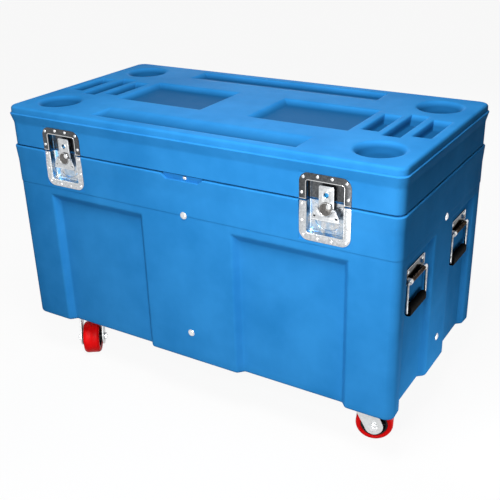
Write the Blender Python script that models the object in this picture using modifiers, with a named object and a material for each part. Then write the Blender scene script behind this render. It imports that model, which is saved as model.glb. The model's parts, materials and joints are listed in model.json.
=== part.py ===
# Moulded road trunk on four swivel casters, with a hinged lid, two butterfly
# latches and four sprung drop handles.
# Metres, +Z up, origin on the floor under the middle of the case.
# +X runs along the length and the latched front faces -Y.
import math

import bmesh
import bpy
from mathutils import Matrix, Vector

# Overall sizes
case_length = 1.200
case_depth = 0.620
caster_height = 0.143
body_height = 0.548
seam_gap = 0.0025
lid_height = 0.1125
corner_radius = 0.024
corner_segments = 6

# Walls of the double-skinned moulding
wall = 0.034
inner_radius = 0.016
floor_thickness = 0.012
lid_roof = 0.034
gap = 0.0003
overshoot = 0.012
merge_distance = 0.00001

# How far the outer skin stands inside the case's outline
body_inset = 0.0055
rim_band_inset = 0.0045
body_top_inset = 0.002
lid_skirt_inset = 0.006
lid_top_inset = 0.004
edge_chamfer = 0.003
bottom_edge = 0.008
bottom_edge_break = 0.3
rim_band_height = 0.109
flare_height = 0.046
lid_flare_height = 0.027
lid_flare_middle = 0.6
lid_crease_depth = 0.021
crease_step = 0.002
crease_inset_share = 0.7

# Pressed panels in the four walls
panel_depth = 0.018
panel_draft = 0.015
panel_top_slope = 0.022
panel_top_drop = 0.131
corner_post_long = 0.133
centre_post_long = 0.287
corner_post_short = 0.057
centre_post_short = 0.132

# Stacking cups, slots, recesses and grooves in the lid
cup_inset_x = 0.108
cup_inset_y = 0.1085
cup_radius = 0.062
cup_floor_radius = 0.044
cup_depth = 0.024
slot_width = 0.045
slot_insets = (0.057, 0.124, 0.189)
slot_cup_gap = 0.0385
outer_slot_shorter = 0.024
slot_depth = 0.022
slot_floor_share = 0.70
slot_side_slope = 0.006
recess_inner = 0.0755
recess_outer_inset = 0.2355
recess_edge_inset = 0.2085
recess_depth = 0.015
recess_slope = 0.018
groove_end_inset = 0.287
groove_outer_inset = 0.038
groove_inner_inset = 0.122
groove_depth = 0.014
groove_near_slope = 0.004
groove_far_slope = 0.064
groove_end_slope = 0.014

# Finger notch in the body's front edge and the stud in it
notch_top_width = 0.131
notch_bottom_width = 0.101
notch_height = 0.013
notch_depth = 0.014
stud_radius = 0.0065
stud_height = 0.004
stud_offset = 0.005

# Rubber seal on the rim
seal_width = 0.0075
seal_height = 0.0019

# Butterfly latches, measured from the middle of the cam
latch_inset = 0.195
latch_height = 0.533
seat_clearance = 0.0006
dish_width = 0.134
dish_below = 0.084
keeper_above = 0.085
dish_seam_gap = 0.002
sheet = 0.0015
dish_corner = 0.024
flange_side = 0.018
flange_end = 0.018
tub_depth = 0.0175
tub_wall = 0.0015
pocket_clearance = 0.0005
rivet_radius = 0.0042
rivet_rise = 0.0022
rivet_margin = 0.0075
rivet_top_share = 0.55
rivet_corner_in = 0.004
rivet_row_out = 0.0005
dish_side_rivets = (0.007, -0.0355)
keeper_side_rivet_drop = 0.050
catch_radius = 0.006
catch_height = 0.034
hook_width = 0.039
hook_top = 0.056
hook_bottom = 0.012
hook_sheet = 0.002
hook_lift = 0.006
hook_hole = 0.0062
hook_stand_off = 0.0078
cam_radius = 0.017
cam_thickness = 0.004
spindle_radius = 0.004
cam_pin_radius = 0.0055
cam_pin_offset = 0.0082
cam_pin_rise = 0.0035
cam_pin_top_share = 0.6
layer_gap = 0.0005
wing_sheet = 0.002
wing_shoulder = 0.026
wing_span = 0.036
wing_shoulder_drop = 0.019
wing_drop = 0.028
wing_roll_radius = 0.0023
wing_hole = 0.0028
wing_hole_offset = 0.028
knuckle_radius = 0.003
wing_pin_radius = 0.0013
wing_pin_reach = 0.024

# Sprung drop handles on the two ends
handle_height = 0.360
handle_plate_width = 0.124
handle_plate_height = 0.040
handle_plate_corner = 0.004
handle_sheet = 0.0025
handle_lug_width = 0.012
handle_lug_place = 0.048
handle_lug_height = 0.015
handle_lug_cover = 0.003
handle_rivet_rise = 0.024
handle_pivot_drop = 0.012
handle_pivot_out = 0.0095
bail_radius = 0.0035
bail_width = 0.125
bail_length = 0.080
bail_corner = 0.007
grip_length = 0.106
grip_height = 0.026
grip_thickness = 0.017
grip_corner = 0.0064
bore_clearance = 0.0004

# Swivel casters
caster_inset_x = 0.129
caster_inset_y = 0.1105
caster_trail = 0.0355
caster_angles = {"fl": -55.5, "fr": 18.8, "bl": 150.0, "br": 127.0}
wheel_radius = 0.050
tyre_width = 0.050
tyre_shoulder = 0.008
tyre_shoulder_steps = 3
hub_radius = 0.0358
hub_width = 0.046
hub_boss_radius = 0.013
hub_boss_length = 0.060
axle_radius = 0.006
axle_head_radius = 0.0115
axle_head_height = 0.0105
fork_inner = 0.063
fork_sheet = 0.0045
fork_end_radius = 0.024
fork_top_half = 0.028
fork_arc = (-121.0, 25.0)
fork_elbow = (0.0034, 0.0017)
fork_crown = 0.006
fork_crown_radius = 0.034
race_radius = 0.030
race_foot_radius = 0.0255
race_height = 0.011
caster_plate_x = 0.105
caster_plate_y = 0.085
caster_plate_sheet = 0.004
caster_plate_corner = 0.008
kingpin_radius = 0.010
kingpin_length = 0.006

# Hinges on the back
hinge_length = 0.122
hinge_leaf = 0.045
hinge_sheet = 0.002
hinge_axis_out = 0.002
hinge_knuckle_radius = 0.004
hinge_pin_radius = 0.002
hinge_knuckles = 3
hinge_screw_radius = 0.004
hinge_screw_rise = 0.0015
hinge_screw_top_share = 0.6
hinge_screw_rows = (0.016, 0.036)
hinge_screw_end = 0.01525
hinge_tongue_start = 0.0015

# Round-headed bolts on the posts
bolt_washer_radius = 0.010
bolt_washer = 0.0012
bolt_head_radius = 0.008
bolt_head_height = 0.003
dome_shares = (0.7, 0.75)
bolt_shank_radius = 0.003
bolt_shank_length = 0.008
upper_bolt_height = 0.4416
lower_bolt_height = 0.090

# Levels worked out from the sizes above
half_length = case_length / 2
half_depth = case_depth / 2
body_bottom = caster_height
body_top = body_bottom + body_height
lid_bottom = body_top + seam_gap
lid_top = lid_bottom + lid_height
rim_band_bottom = body_top - rim_band_height
lid_crease = lid_top - lid_crease_depth
cavity_floor = body_bottom + floor_thickness
panel_top = body_top - panel_top_drop
latch_centre = body_bottom + latch_height
hinge_axis_height = lid_bottom - gap
front, right, back, left = 0.0, 90.0, 180.0, -90.0
wall_distance = {front: half_depth, right: half_length, back: half_depth, left: half_length}


def clear_scene():
    for item in list(bpy.data.objects):
        bpy.data.objects.remove(item, do_unlink=True)


def helper(name, data):
    """Short-lived object in the cutters collection, for a modifier or a curve to work on."""
    item = bpy.data.objects.new(name, data)
    cutter_group.objects.link(item)
    item.hide_render = True
    item.display_type = "WIRE"
    return item


def make_material(name, colour, roughness, metallic=0.0):
    material = bpy.data.materials.new(name)
    material.use_nodes = True
    shader = material.node_tree.nodes["Principled BSDF"]
    shader.inputs["Base Color"].default_value = (*colour, 1.0)
    shader.inputs["Roughness"].default_value = roughness
    shader.inputs["Metallic"].default_value = metallic
    return material


def wall_matrix(angle, along=0.0, height=0.0, out=0.0):
    """Local x runs along a wall, y up it and z out of it."""
    turn = Matrix.Rotation(math.radians(angle), 4, "Z")
    upright = Matrix.Rotation(math.radians(90), 4, "X")
    return turn @ Matrix.Translation((along, -out, height)) @ upright


def mesh_from(bm, name="shape"):
    mesh = bpy.data.meshes.new(name)
    bmesh.ops.recalc_face_normals(bm, faces=bm.faces)
    bm.to_mesh(mesh)
    bm.free()
    return mesh


def moved(mesh, matrix):
    copy = mesh.copy()
    copy.transform(matrix)
    return copy


def box(low, high, matrix=Matrix()):
    low, high = Vector(low), Vector(high)
    bm = bmesh.new()
    bmesh.ops.create_cube(bm, size=1.0)
    for vertex in bm.verts:
        vertex.co = [low[i] + (vertex.co[i] + 0.5) * (high[i] - low[i]) for i in range(3)]
    bmesh.ops.transform(bm, matrix=matrix, verts=bm.verts)
    return mesh_from(bm)


def cylinder(radius, bottom, top, segments=24, top_radius=None, place=(0.0, 0.0), matrix=Matrix()):
    bm = bmesh.new()
    bmesh.ops.create_cone(bm, cap_ends=True, segments=segments, radius1=radius,
                          radius2=radius if top_radius is None else top_radius, depth=top - bottom)
    bmesh.ops.translate(bm, vec=(place[0], place[1], (bottom + top) / 2), verts=bm.verts)
    bmesh.ops.transform(bm, matrix=matrix, verts=bm.verts)
    return mesh_from(bm)


def tapered_pit(rim, floor, depth, proud, matrix=Matrix()):
    """Pit cutter from a rim rectangle at z 0 down to a floor rectangle, carried on above the rim."""
    bm = bmesh.new()
    bmesh.ops.create_cube(bm, size=2.0)
    spread = proud / depth
    for vertex in bm.verts:
        side_x = 0 if vertex.co.x < 0 else 1
        side_y = 2 if vertex.co.y < 0 else 3
        if vertex.co.z < 0:
            vertex.co = (floor[side_x], floor[side_y], -depth)
        else:
            vertex.co = (rim[side_x] + (rim[side_x] - floor[side_x]) * spread,
                         rim[side_y] + (rim[side_y] - floor[side_y]) * spread, proud)
    bmesh.ops.transform(bm, matrix=matrix, verts=bm.verts)
    return mesh_from(bm)


def rounded_rectangle(half_x, half_y, radius, segments=corner_segments):
    points = []
    for corner, (side_x, side_y) in enumerate(((1, 1), (-1, 1), (-1, -1), (1, -1))):
        for step in range(segments + 1):
            angle = math.pi / 2 * (corner + step / segments)
            points.append((side_x * (half_x - radius) + radius * math.cos(angle),
                           side_y * (half_y - radius) + radius * math.sin(angle)))
    return points


def flat_plate(outline, bottom, top, matrix=Matrix()):
    """Plate of a closed outline, drawn as a filled flat curve and made a mesh."""
    curve = bpy.data.curves.new("outline", "CURVE")
    curve.dimensions = "2D"
    curve.fill_mode = "BOTH"
    curve.extrude = (top - bottom) / 2
    spline = curve.splines.new("POLY")
    spline.points.add(len(outline) - 1)
    for point, (x, y) in zip(spline.points, outline):
        point.co = (x, y, 0.0, 1.0)
    spline.use_cyclic_u = True
    sketch = helper("outline", curve)
    graph = bpy.context.evaluated_depsgraph_get()
    mesh = bpy.data.meshes.new_from_object(sketch.evaluated_get(graph))
    bpy.data.objects.remove(sketch, do_unlink=True)
    bm = bmesh.new()
    bm.from_mesh(mesh)
    bmesh.ops.remove_doubles(bm, verts=bm.verts, dist=merge_distance)
    bmesh.ops.translate(bm, vec=(0.0, 0.0, (bottom + top) / 2), verts=bm.verts)
    bmesh.ops.transform(bm, matrix=matrix, verts=bm.verts)
    return mesh_from(bm)


def stacked_outline(levels):
    """Closed body through one rounded outline at each (height, inset, radius) level."""
    bm = bmesh.new()
    rings = []
    for height, inset, radius in levels:
        outline = rounded_rectangle(half_length - inset, half_depth - inset, radius)
        rings.append([bm.verts.new((x, y, height)) for x, y in outline])
    for lower, upper in zip(rings, rings[1:]):
        for i in range(len(lower)):
            j = (i + 1) % len(lower)
            bm.faces.new((lower[i], lower[j], upper[j], upper[i]))
    bm.faces.new(reversed(rings[0]))
    bm.faces.new(rings[-1])
    return mesh_from(bm)


def turned(profile, segments=28):
    """Solid turned about Z from a profile that runs down its outer side."""
    mesh = bpy.data.meshes.new("profile")
    points = [(radius, 0.0, height) for radius, height in profile]
    edges = [(i, i + 1) for i in range(len(points) - 1)]
    if profile[0][0] > 0:
        edges.append((len(points) - 1, 0))
    mesh.from_pydata(points, edges, [])
    shape = helper("profile", mesh)
    screw = shape.modifiers.new("Turn", "SCREW")
    screw.steps = screw.render_steps = segments
    screw.use_merge_vertices = True
    screw.merge_threshold = merge_distance
    graph = bpy.context.evaluated_depsgraph_get()
    result = bpy.data.meshes.new_from_object(shape.evaluated_get(graph))
    bpy.data.objects.remove(shape, do_unlink=True)
    bm = bmesh.new()
    bm.from_mesh(result)
    bmesh.ops.remove_doubles(bm, verts=bm.verts, dist=merge_distance)
    return mesh_from(bm)


def combined(base, tools, operation):
    """Cut the tools from the base mesh, or join them to it, one after another."""
    for tool in tools:
        target, other = helper("target", base), helper("cutter", tool)
        change = target.modifiers.new("Boolean", "BOOLEAN")
        change.operation = operation
        change.object = other
        graph = bpy.context.evaluated_depsgraph_get()
        result = bpy.data.meshes.new_from_object(target.evaluated_get(graph))
        for item in (target, other):
            bpy.data.objects.remove(item, do_unlink=True)
        bm = bmesh.new()
        bm.from_mesh(result)
        bmesh.ops.remove_doubles(bm, verts=bm.verts, dist=merge_distance / 2)
        bmesh.ops.dissolve_degenerate(bm, edges=bm.edges, dist=merge_distance / 2)
        bm.to_mesh(result)
        bm.free()
        base = result
    return base


def cut(base, *tools):
    return combined(base, tools, "DIFFERENCE")


def join(base, *tools):
    return combined(base, tools, "UNION")


def place(name, mesh, material, matrix=Matrix()):
    """Named piece with its own material, under the empty that carries the case."""
    piece_mesh = mesh.copy()
    piece_mesh.name = name
    piece_mesh.materials.clear()
    piece_mesh.materials.append(material)
    piece_mesh.shade_smooth()
    piece_mesh.set_sharp_from_angle(angle=math.radians(30))
    piece = bpy.data.objects.new(name, piece_mesh)
    parts.objects.link(piece)
    piece.parent = carrier
    piece.location, piece.rotation_euler = matrix.to_translation(), matrix.to_euler()
    return piece


# Body and lid mouldings

def panel_cutters():
    """Two pressed panels in each wall, open at the bottom edge."""
    cutters = []
    bottom = body_bottom - bottom_edge
    spans = {front: (corner_post_long, centre_post_long), back: (corner_post_long, centre_post_long),
             right: (corner_post_short, centre_post_short), left: (corner_post_short, centre_post_short)}
    for angle, (corner_post, centre_post) in spans.items():
        half_width = half_depth if angle in (right, left) else half_length
        face = wall_distance[angle] - body_inset
        inner, outer = centre_post / 2, half_width - corner_post
        for side in (-1, 1):
            rim = sorted((side * inner, side * outer))
            base = sorted((side * (inner + panel_draft), side * (outer - panel_draft)))
            matrix = wall_matrix(angle, 0.0, bottom, face)
            height = panel_top - bottom
            cutters.append(tapered_pit((*rim, 0.0, height), (*base, 0.0, height - panel_top_slope),
                                       panel_depth, panel_depth, matrix))
    return cutters


def seat_cutter(half_width, low, high, angle, along, height):
    """Flattens the moulding where a plate is fixed, down to the skirt's plane."""
    seat = wall_distance[angle] - lid_skirt_inset
    return box((-half_width, low, 0.0), (half_width, high, overshoot),
               wall_matrix(angle, along, height, seat))


def latch_cutters():
    cutters = []
    seat = half_depth - lid_skirt_inset
    for side in (-1, 1):
        along = side * (half_length - latch_inset)
        half_width = dish_width / 2 + seat_clearance
        cutters.append(seat_cutter(half_width, -dish_below - seat_clearance,
                                   keeper_above + seat_clearance, front, along, latch_centre))
        tub_half = dish_width / 2 - flange_side + pocket_clearance
        low = -dish_below + flange_end - pocket_clearance
        high = keeper_above - flange_end + pocket_clearance
        cutters.append(box((-tub_half, low, -tub_depth - pocket_clearance), (tub_half, high, edge_chamfer),
                           wall_matrix(front, along, latch_centre, seat)))
    return cutters


def hinge_cutters():
    cutters = []
    seat = half_depth - lid_skirt_inset
    half_width = hinge_length / 2 + seat_clearance
    reach = hinge_knuckle_radius + seat_clearance
    for side in (-1, 1):
        along = side * (half_length - latch_inset)
        cutters.append(seat_cutter(half_width, -hinge_leaf - seat_clearance,
                                   hinge_leaf + seat_clearance, back, along, hinge_axis_height))
        cutters.append(box((-half_width, -reach, hinge_axis_out - reach), (half_width, reach, overshoot),
                           wall_matrix(back, along, hinge_axis_height, seat)))
    return cutters


def bolt_places():
    """Name, wall, height above the floor and seat distance of each bolt."""
    for wall_name, angle in (("front", front), ("right", right), ("back", back), ("left", left)):
        distance = wall_distance[angle]
        yield f"bolt_{wall_name}_upper", angle, body_bottom + upper_bolt_height, distance - rim_band_inset
        yield f"bolt_{wall_name}_lower", angle, body_bottom + lower_bolt_height, distance - body_inset


def make_body():
    chamfered = corner_radius - body_top_inset - edge_chamfer
    edge_break = bottom_edge_break * bottom_edge
    levels = [
        (body_bottom, body_inset + bottom_edge, corner_radius - bottom_edge),
        (body_bottom + edge_break, body_inset + edge_break, corner_radius - edge_break),
        (body_bottom + bottom_edge, body_inset, corner_radius),
        (rim_band_bottom, body_inset, corner_radius),
        (rim_band_bottom + crease_step, rim_band_inset, corner_radius),
        (body_top - flare_height, rim_band_inset, corner_radius),
        (body_top - edge_chamfer, body_top_inset, corner_radius),
        (body_top, body_top_inset + edge_chamfer, chamfered),
    ]
    body = stacked_outline(levels)
    cavity = stacked_outline([(cavity_floor, wall, inner_radius),
                              (body_top + wall, wall, inner_radius)])
    notch = tapered_pit((-notch_top_width / 2, notch_top_width / 2, -half_depth, notch_depth - half_depth),
                        (-notch_bottom_width / 2, notch_bottom_width / 2, -half_depth,
                         notch_depth - half_depth), notch_height, notch_height,
                        Matrix.Translation((0.0, 0.0, body_top)))
    body = cut(body, cavity, *panel_cutters())
    body = cut(body, notch, *latch_cutters(), *hinge_cutters())
    for _, angle, height, distance in bolt_places():
        hole = cylinder(bolt_shank_radius + gap, -bolt_shank_length - gap, bolt_washer, 12,
                        matrix=wall_matrix(angle, 0.0, height, distance))
        body = cut(body, hole)
    stud_hole = cylinder(bolt_shank_radius + gap, -bolt_shank_length - gap, stud_height, 12,
                         matrix=stud_matrix())
    return cut(body, stud_hole)


def stud_matrix():
    return wall_matrix(front, stud_offset, body_top - notch_height / 2, half_depth - notch_depth)


def lid_pits():
    """Stacking cups, slots, recesses and grooves pressed into the lid's top."""
    pits = []
    top = Matrix.Translation((0.0, 0.0, lid_top))
    cup_x, cup_y = half_length - cup_inset_x, half_depth - cup_inset_y
    cup_mouth = cup_radius + edge_chamfer * (cup_radius - cup_floor_radius) / cup_depth
    slot_half = cup_y - cup_radius - slot_cup_gap
    for side_x in (-1, 1):
        for side_y in (-1, 1):
            pits.append(cylinder(cup_floor_radius, -cup_depth, edge_chamfer, 32,
                                 cup_mouth, (side_x * cup_x, side_y * cup_y), top))
        for place_in_row, inset in enumerate(slot_insets):
            middle = side_x * (half_length - inset)
            reach = slot_half if place_in_row == 1 else slot_half - outer_slot_shorter
            floor_reach = reach * slot_floor_share
            half = slot_width / 2
            pits.append(tapered_pit((middle - half, middle + half, -reach, reach),
                                    (middle - half + slot_side_slope, middle + half - slot_side_slope,
                                     -floor_reach, floor_reach),
                                    slot_depth, edge_chamfer, top))
        ends = sorted((side_x * recess_inner, side_x * (half_length - recess_outer_inset)))
        edge = half_depth - recess_edge_inset
        pits.append(tapered_pit((*ends, -edge, edge),
                                (ends[0] + recess_slope, ends[1] - recess_slope,
                                 -edge + recess_slope, edge - recess_slope),
                                recess_depth, edge_chamfer, top))
    groove_half = half_length - groove_end_inset
    near, far = half_depth - groove_outer_inset, half_depth - groove_inner_inset
    for turn in (0, 180):
        pits.append(tapered_pit((-groove_half, groove_half, -near, -far),
                                (-groove_half + groove_end_slope, groove_half - groove_end_slope,
                                 -near + groove_near_slope, -far - groove_far_slope),
                                groove_depth, edge_chamfer,
                                top @ Matrix.Rotation(math.radians(turn), 4, "Z")))
    return pits


def make_lid():
    skirt_top = lid_crease - lid_flare_height
    levels = [
        (lid_bottom, lid_skirt_inset + edge_chamfer, corner_radius - edge_chamfer),
        (lid_bottom + edge_chamfer, lid_skirt_inset, corner_radius),
        (skirt_top, lid_skirt_inset, corner_radius),
        (skirt_top + lid_flare_height / 2, lid_skirt_inset * lid_flare_middle, corner_radius),
        (lid_crease, 0.0, corner_radius),
        (lid_crease + crease_step / 2, lid_top_inset * crease_inset_share, corner_radius),
        (lid_top - edge_chamfer, lid_top_inset, corner_radius),
        (lid_top, lid_top_inset + edge_chamfer, corner_radius - edge_chamfer),
    ]
    lid = stacked_outline(levels)
    cavity = stacked_outline([(lid_bottom - wall, wall, inner_radius),
                              (lid_top - lid_roof, wall, inner_radius)])
    return cut(lid, cavity, *lid_pits(), *latch_cutters(), *hinge_cutters())


def make_seal():
    """Flat ring on the rim, between the latch pockets and the inner edge."""
    low, high = body_top + gap, body_top + gap + seal_height
    inset = wall - seal_width - 2 * gap
    radius = inner_radius + seal_width
    outer = flat_plate(rounded_rectangle(half_length - inset, half_depth - inset, radius), low, high)
    inner_half_x = half_length - inset - seal_width
    inner_half_y = half_depth - inset - seal_width
    inner = flat_plate(rounded_rectangle(inner_half_x, inner_half_y, inner_radius), low - wall, high + wall)
    return cut(outer, inner)


# Latch pieces, in a frame with its origin at the cam's middle on the seat

def rivet(x, y):
    return cylinder(rivet_radius, sheet / 2, gap + sheet + rivet_rise, 6,
                    rivet_radius * rivet_top_share, (x, y))


def half_dish(far_end, seam_end, rivet_rows):
    """Half of the latch dish: flange and tub reach from the far end to the seam."""
    direction = 1 if far_end > seam_end else -1
    half, reach = dish_width / 2, abs(far_end - seam_end)
    arcs = [point for point in rounded_rectangle(half, reach, dish_corner, 3) if point[1] > 0]
    outline = [(x, seam_end + direction * y) for x, y in [(half, 0.0), *arcs, (-half, 0.0)]]
    flange = flat_plate(outline, gap, gap + sheet)
    inner_half = half - flange_side
    tub_far = far_end - direction * flange_end
    tub_y = sorted((tub_far, seam_end))
    tub = box((-inner_half, tub_y[0], -tub_depth), (inner_half, tub_y[1], gap + sheet / 2))
    hollow_y = sorted((tub_far - direction * tub_wall, seam_end - direction * overshoot))
    hollow = box((-inner_half + tub_wall, hollow_y[0], -tub_depth + sheet),
                 (inner_half - tub_wall, hollow_y[1], overshoot))
    dish = cut(join(flange, tub), hollow)
    return join(dish, *[rivet(x, y) for x, y in rivet_rows])


def dish_rivets():
    """Rivets along the sides and the bottom of the dish."""
    column = dish_width / 2 - rivet_margin
    bottom = -dish_below + rivet_margin
    corner = column - rivet_corner_in
    rows = [(side * column, y) for side in (-1, 1) for y in dish_side_rivets]
    rows += [(side * corner, bottom + rivet_corner_in) for side in (-1, 1)]
    rows += [(side * corner / 3, bottom - rivet_row_out) for side in (-1, 1)]
    return rows


def keeper_rivets():
    """Rivets along the sides and the top of the keeper."""
    column = dish_width / 2 - rivet_margin
    top = keeper_above - rivet_margin
    corner = column - rivet_corner_in
    rows = [(side * column, keeper_above - keeper_side_rivet_drop) for side in (-1, 1)]
    rows += [(side * corner, top - rivet_corner_in) for side in (-1, 1)]
    rows += [(side * corner / 3, top + rivet_row_out) for side in (-1, 1)]
    return rows


dish_seam = body_top - latch_centre - gap
keeper_seam = lid_bottom - latch_centre + dish_seam_gap
tub_floor = -tub_depth + sheet
hook_back = tub_floor + hook_stand_off
hook_front = hook_back + hook_sheet
cam_back = hook_front + layer_gap
cam_front = cam_back + cam_thickness
wing_axis_out = cam_back + knuckle_radius + layer_gap


def make_keeper():
    dish = half_dish(keeper_above, keeper_seam, keeper_rivets())
    catch = cylinder(catch_radius, tub_floor - sheet / 2, hook_back - gap, 10, place=(0.0, catch_height))
    return join(dish, catch)


def make_hook():
    """Plate that the cam lifts, with a window for the catch and a slot for the spindle."""
    half = hook_width / 2
    plate = box((-half, -hook_bottom - hook_lift, hook_back), (half, hook_top, hook_front))
    window = cylinder(hook_hole, hook_back - sheet, hook_front + sheet, 12, place=(0.0, catch_height))
    clear = spindle_radius + bore_clearance
    slot = box((-clear, -clear - hook_lift, hook_back - sheet), (clear, clear, hook_front + sheet))
    return cut(plate, window, slot)


def make_cam():
    """Disc on a spindle, with a round-headed pin and two stub pins for the wing."""
    disc = cylinder(cam_radius, cam_back, cam_front, 24)
    spindle = cylinder(spindle_radius, tub_floor + gap, cam_back + cam_thickness / 2, 10)
    pin = cylinder(cam_pin_radius, cam_front - cam_thickness / 2, cam_front + cam_pin_rise, 10,
                   cam_pin_radius * cam_pin_top_share, (cam_pin_offset, cam_pin_offset))
    along = Matrix.Translation((0.0, 0.0, wing_axis_out)) @ Matrix.Rotation(math.radians(90), 4, "Y")
    stubs = cylinder(wing_pin_radius, -wing_pin_reach, wing_pin_reach, 8, matrix=along)
    return join(disc, spindle, pin, stubs)


def make_wing():
    """Folding wing with a round notch for the cam, rolled lower edge and two holes."""
    half_sheet = wing_sheet / 2
    notch = cam_radius + 2 * layer_gap
    steps = 7
    outline = [(-wing_shoulder, 0.0), (-wing_span, -wing_shoulder_drop), (-wing_span, -wing_drop),
               (wing_span, -wing_drop), (wing_span, -wing_shoulder_drop), (wing_shoulder, 0.0)]
    outline += [(notch * math.cos(-math.pi * i / steps), notch * math.sin(-math.pi * i / steps))
                for i in range(steps + 1)]
    plate = flat_plate(outline, -half_sheet, half_sheet)
    lengthwise = Matrix.Rotation(math.radians(90), 4, "Y")
    roll = cylinder(wing_roll_radius, -wing_span, wing_span, 8,
                    matrix=Matrix.Translation((0.0, -wing_drop, 0.0)) @ lengthwise)
    wing = join(plate, roll)
    for side in (-1, 1):
        ends = sorted((side * notch, side * wing_shoulder))
        wing = join(wing, cylinder(knuckle_radius, *ends, 10, matrix=lengthwise))
        wing = cut(wing, cylinder(wing_hole, -wing_sheet, wing_sheet, 8,
                                  place=(side * wing_hole_offset, -wing_shoulder_drop)))
    bore = cylinder(wing_pin_radius + bore_clearance, -wing_span, wing_span, 8, matrix=lengthwise)
    return cut(wing, bore)


def build_latches():
    dish, keeper = half_dish(-dish_below, dish_seam, dish_rivets()), make_keeper()
    hook, cam, wing = make_hook(), make_cam(), make_wing()
    seat = half_depth - lid_skirt_inset
    for side_name, side in (("left", -1), ("right", 1)):
        frame = wall_matrix(front, side * (half_length - latch_inset), latch_centre, seat)
        place(f"latch_{side_name}_dish", dish, zinc, frame)
        place(f"latch_{side_name}_keeper", keeper, dark_plate, frame)
        place(f"latch_{side_name}_hook", hook, zinc, frame)
        place(f"latch_{side_name}_cam", cam, zinc, frame)
        place(f"latch_{side_name}_wing", wing, zinc, frame @ Matrix.Translation((0.0, 0.0, wing_axis_out)))


# Handle pieces, in a frame with its origin at the pivot

def make_handle_plate():
    half_width, half_height = handle_plate_width / 2, handle_plate_height / 2
    base = gap - handle_pivot_out
    outline = rounded_rectangle(half_width, half_height, handle_plate_corner, 2)
    plate = flat_plate(outline, base, base + handle_sheet, Matrix.Translation((0.0, handle_pivot_drop, 0.0)))
    lengthwise = Matrix.Rotation(math.radians(90), 4, "Y")
    for side in (-1, 1):
        middle = side * handle_lug_place
        half = handle_lug_width / 2
        top = bail_radius + handle_lug_cover
        lug = box((middle - half, -handle_lug_height / 2, base + handle_sheet / 2),
                  (middle + half, handle_lug_height / 2, top))
        rivet_head = cylinder(rivet_radius, base + handle_sheet / 2, base + handle_sheet + rivet_rise, 6,
                              rivet_radius * rivet_top_share, (middle, handle_rivet_rise))
        plate = join(plate, lug, rivet_head)
    bore = cylinder(bail_radius + bore_clearance, -half_width, half_width, 10, matrix=lengthwise)
    return cut(plate, bore)


def make_bail():
    """Closed rod loop that hangs from the pivot."""
    curve = bpy.data.curves.new("bail", "CURVE")
    curve.dimensions = "3D"
    curve.bevel_depth = bail_radius
    curve.bevel_resolution = 1
    spline = curve.splines.new("POLY")
    outline = rounded_rectangle(bail_width / 2, bail_length / 2, bail_corner, 3)
    spline.points.add(len(outline) - 1)
    for point, (x, y) in zip(spline.points, outline):
        point.co = (x, y - bail_length / 2, 0.0, 1.0)
    spline.use_cyclic_u = True
    rod = helper("bail", curve)
    graph = bpy.context.evaluated_depsgraph_get()
    mesh = bpy.data.meshes.new_from_object(rod.evaluated_get(graph))
    bpy.data.objects.remove(rod, do_unlink=True)
    bm = bmesh.new()
    bm.from_mesh(mesh)
    bmesh.ops.remove_doubles(bm, verts=bm.verts, dist=merge_distance)
    return mesh_from(bm)


def make_grip():
    lengthwise = Matrix.Rotation(math.radians(90), 4, "Y")
    section = rounded_rectangle(grip_thickness / 2, grip_height / 2, grip_corner, 2)
    grip = flat_plate(section, -grip_length / 2, grip_length / 2, lengthwise)
    bore = cylinder(bail_radius + bore_clearance, -grip_length, grip_length, 10, matrix=lengthwise)
    return moved(cut(grip, bore), Matrix.Translation((0.0, -bail_length, 0.0)))


def build_handles():
    plate, bail, grip = make_handle_plate(), make_bail(), make_grip()
    middle = (half_depth - corner_post_short + centre_post_short / 2) / 2
    out = half_length - body_inset - panel_depth + handle_pivot_out
    height = body_bottom + handle_height - handle_pivot_drop
    for end_name, angle in (("right", right), ("left", left)):
        for row_name, side in (("front", -1), ("back", 1)):
            along = side * middle if angle == right else -side * middle
            frame = wall_matrix(angle, along, height, out)
            place(f"handle_{end_name}_{row_name}_plate", plate, zinc, frame)
            place(f"handle_{end_name}_{row_name}_bail", bail, zinc, frame)
            place(f"handle_{end_name}_{row_name}_grip", grip, black_plastic, frame)


# Caster pieces, in a frame with its origin on the swivel axis at the axle's height

axle_height = wheel_radius
crown_top = body_bottom - gap - caster_plate_sheet - race_height - gap - axle_height
crown_bottom = crown_top - fork_crown


def make_caster_plate():
    top = body_bottom - gap - axle_height
    bottom = top - caster_plate_sheet
    outline = rounded_rectangle(caster_plate_x / 2, caster_plate_y / 2, caster_plate_corner, 2)
    plate = flat_plate(outline, bottom, top)
    race = cylinder(race_foot_radius, bottom - race_height, bottom + caster_plate_sheet / 2, 20, race_radius)
    socket = cylinder(kingpin_radius + bore_clearance, bottom - 2 * race_height,
                      bottom - race_height + kingpin_length + 2 * gap, 12)
    return cut(join(plate, race), socket)


def fork_arm(side):
    """Arm from the crown to the axle, rounded at its lower end."""
    start, end = math.radians(fork_arc[0]), math.radians(fork_arc[1])
    steps = 6
    outline = []
    for i in range(steps + 1):
        angle = start + (end - start) * i / steps
        outline.append((caster_trail + fork_end_radius * math.cos(angle), fork_end_radius * math.sin(angle)))
    outline += [(fork_top_half, crown_top), (-fork_top_half, crown_top), fork_elbow]
    inner, outer = fork_inner / 2, fork_inner / 2 + fork_sheet
    upright = Matrix.Rotation(math.radians(90), 4, "X")
    low, high = (inner, outer) if side < 0 else (-outer, -inner)
    return flat_plate(outline, low, high, upright)


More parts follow.
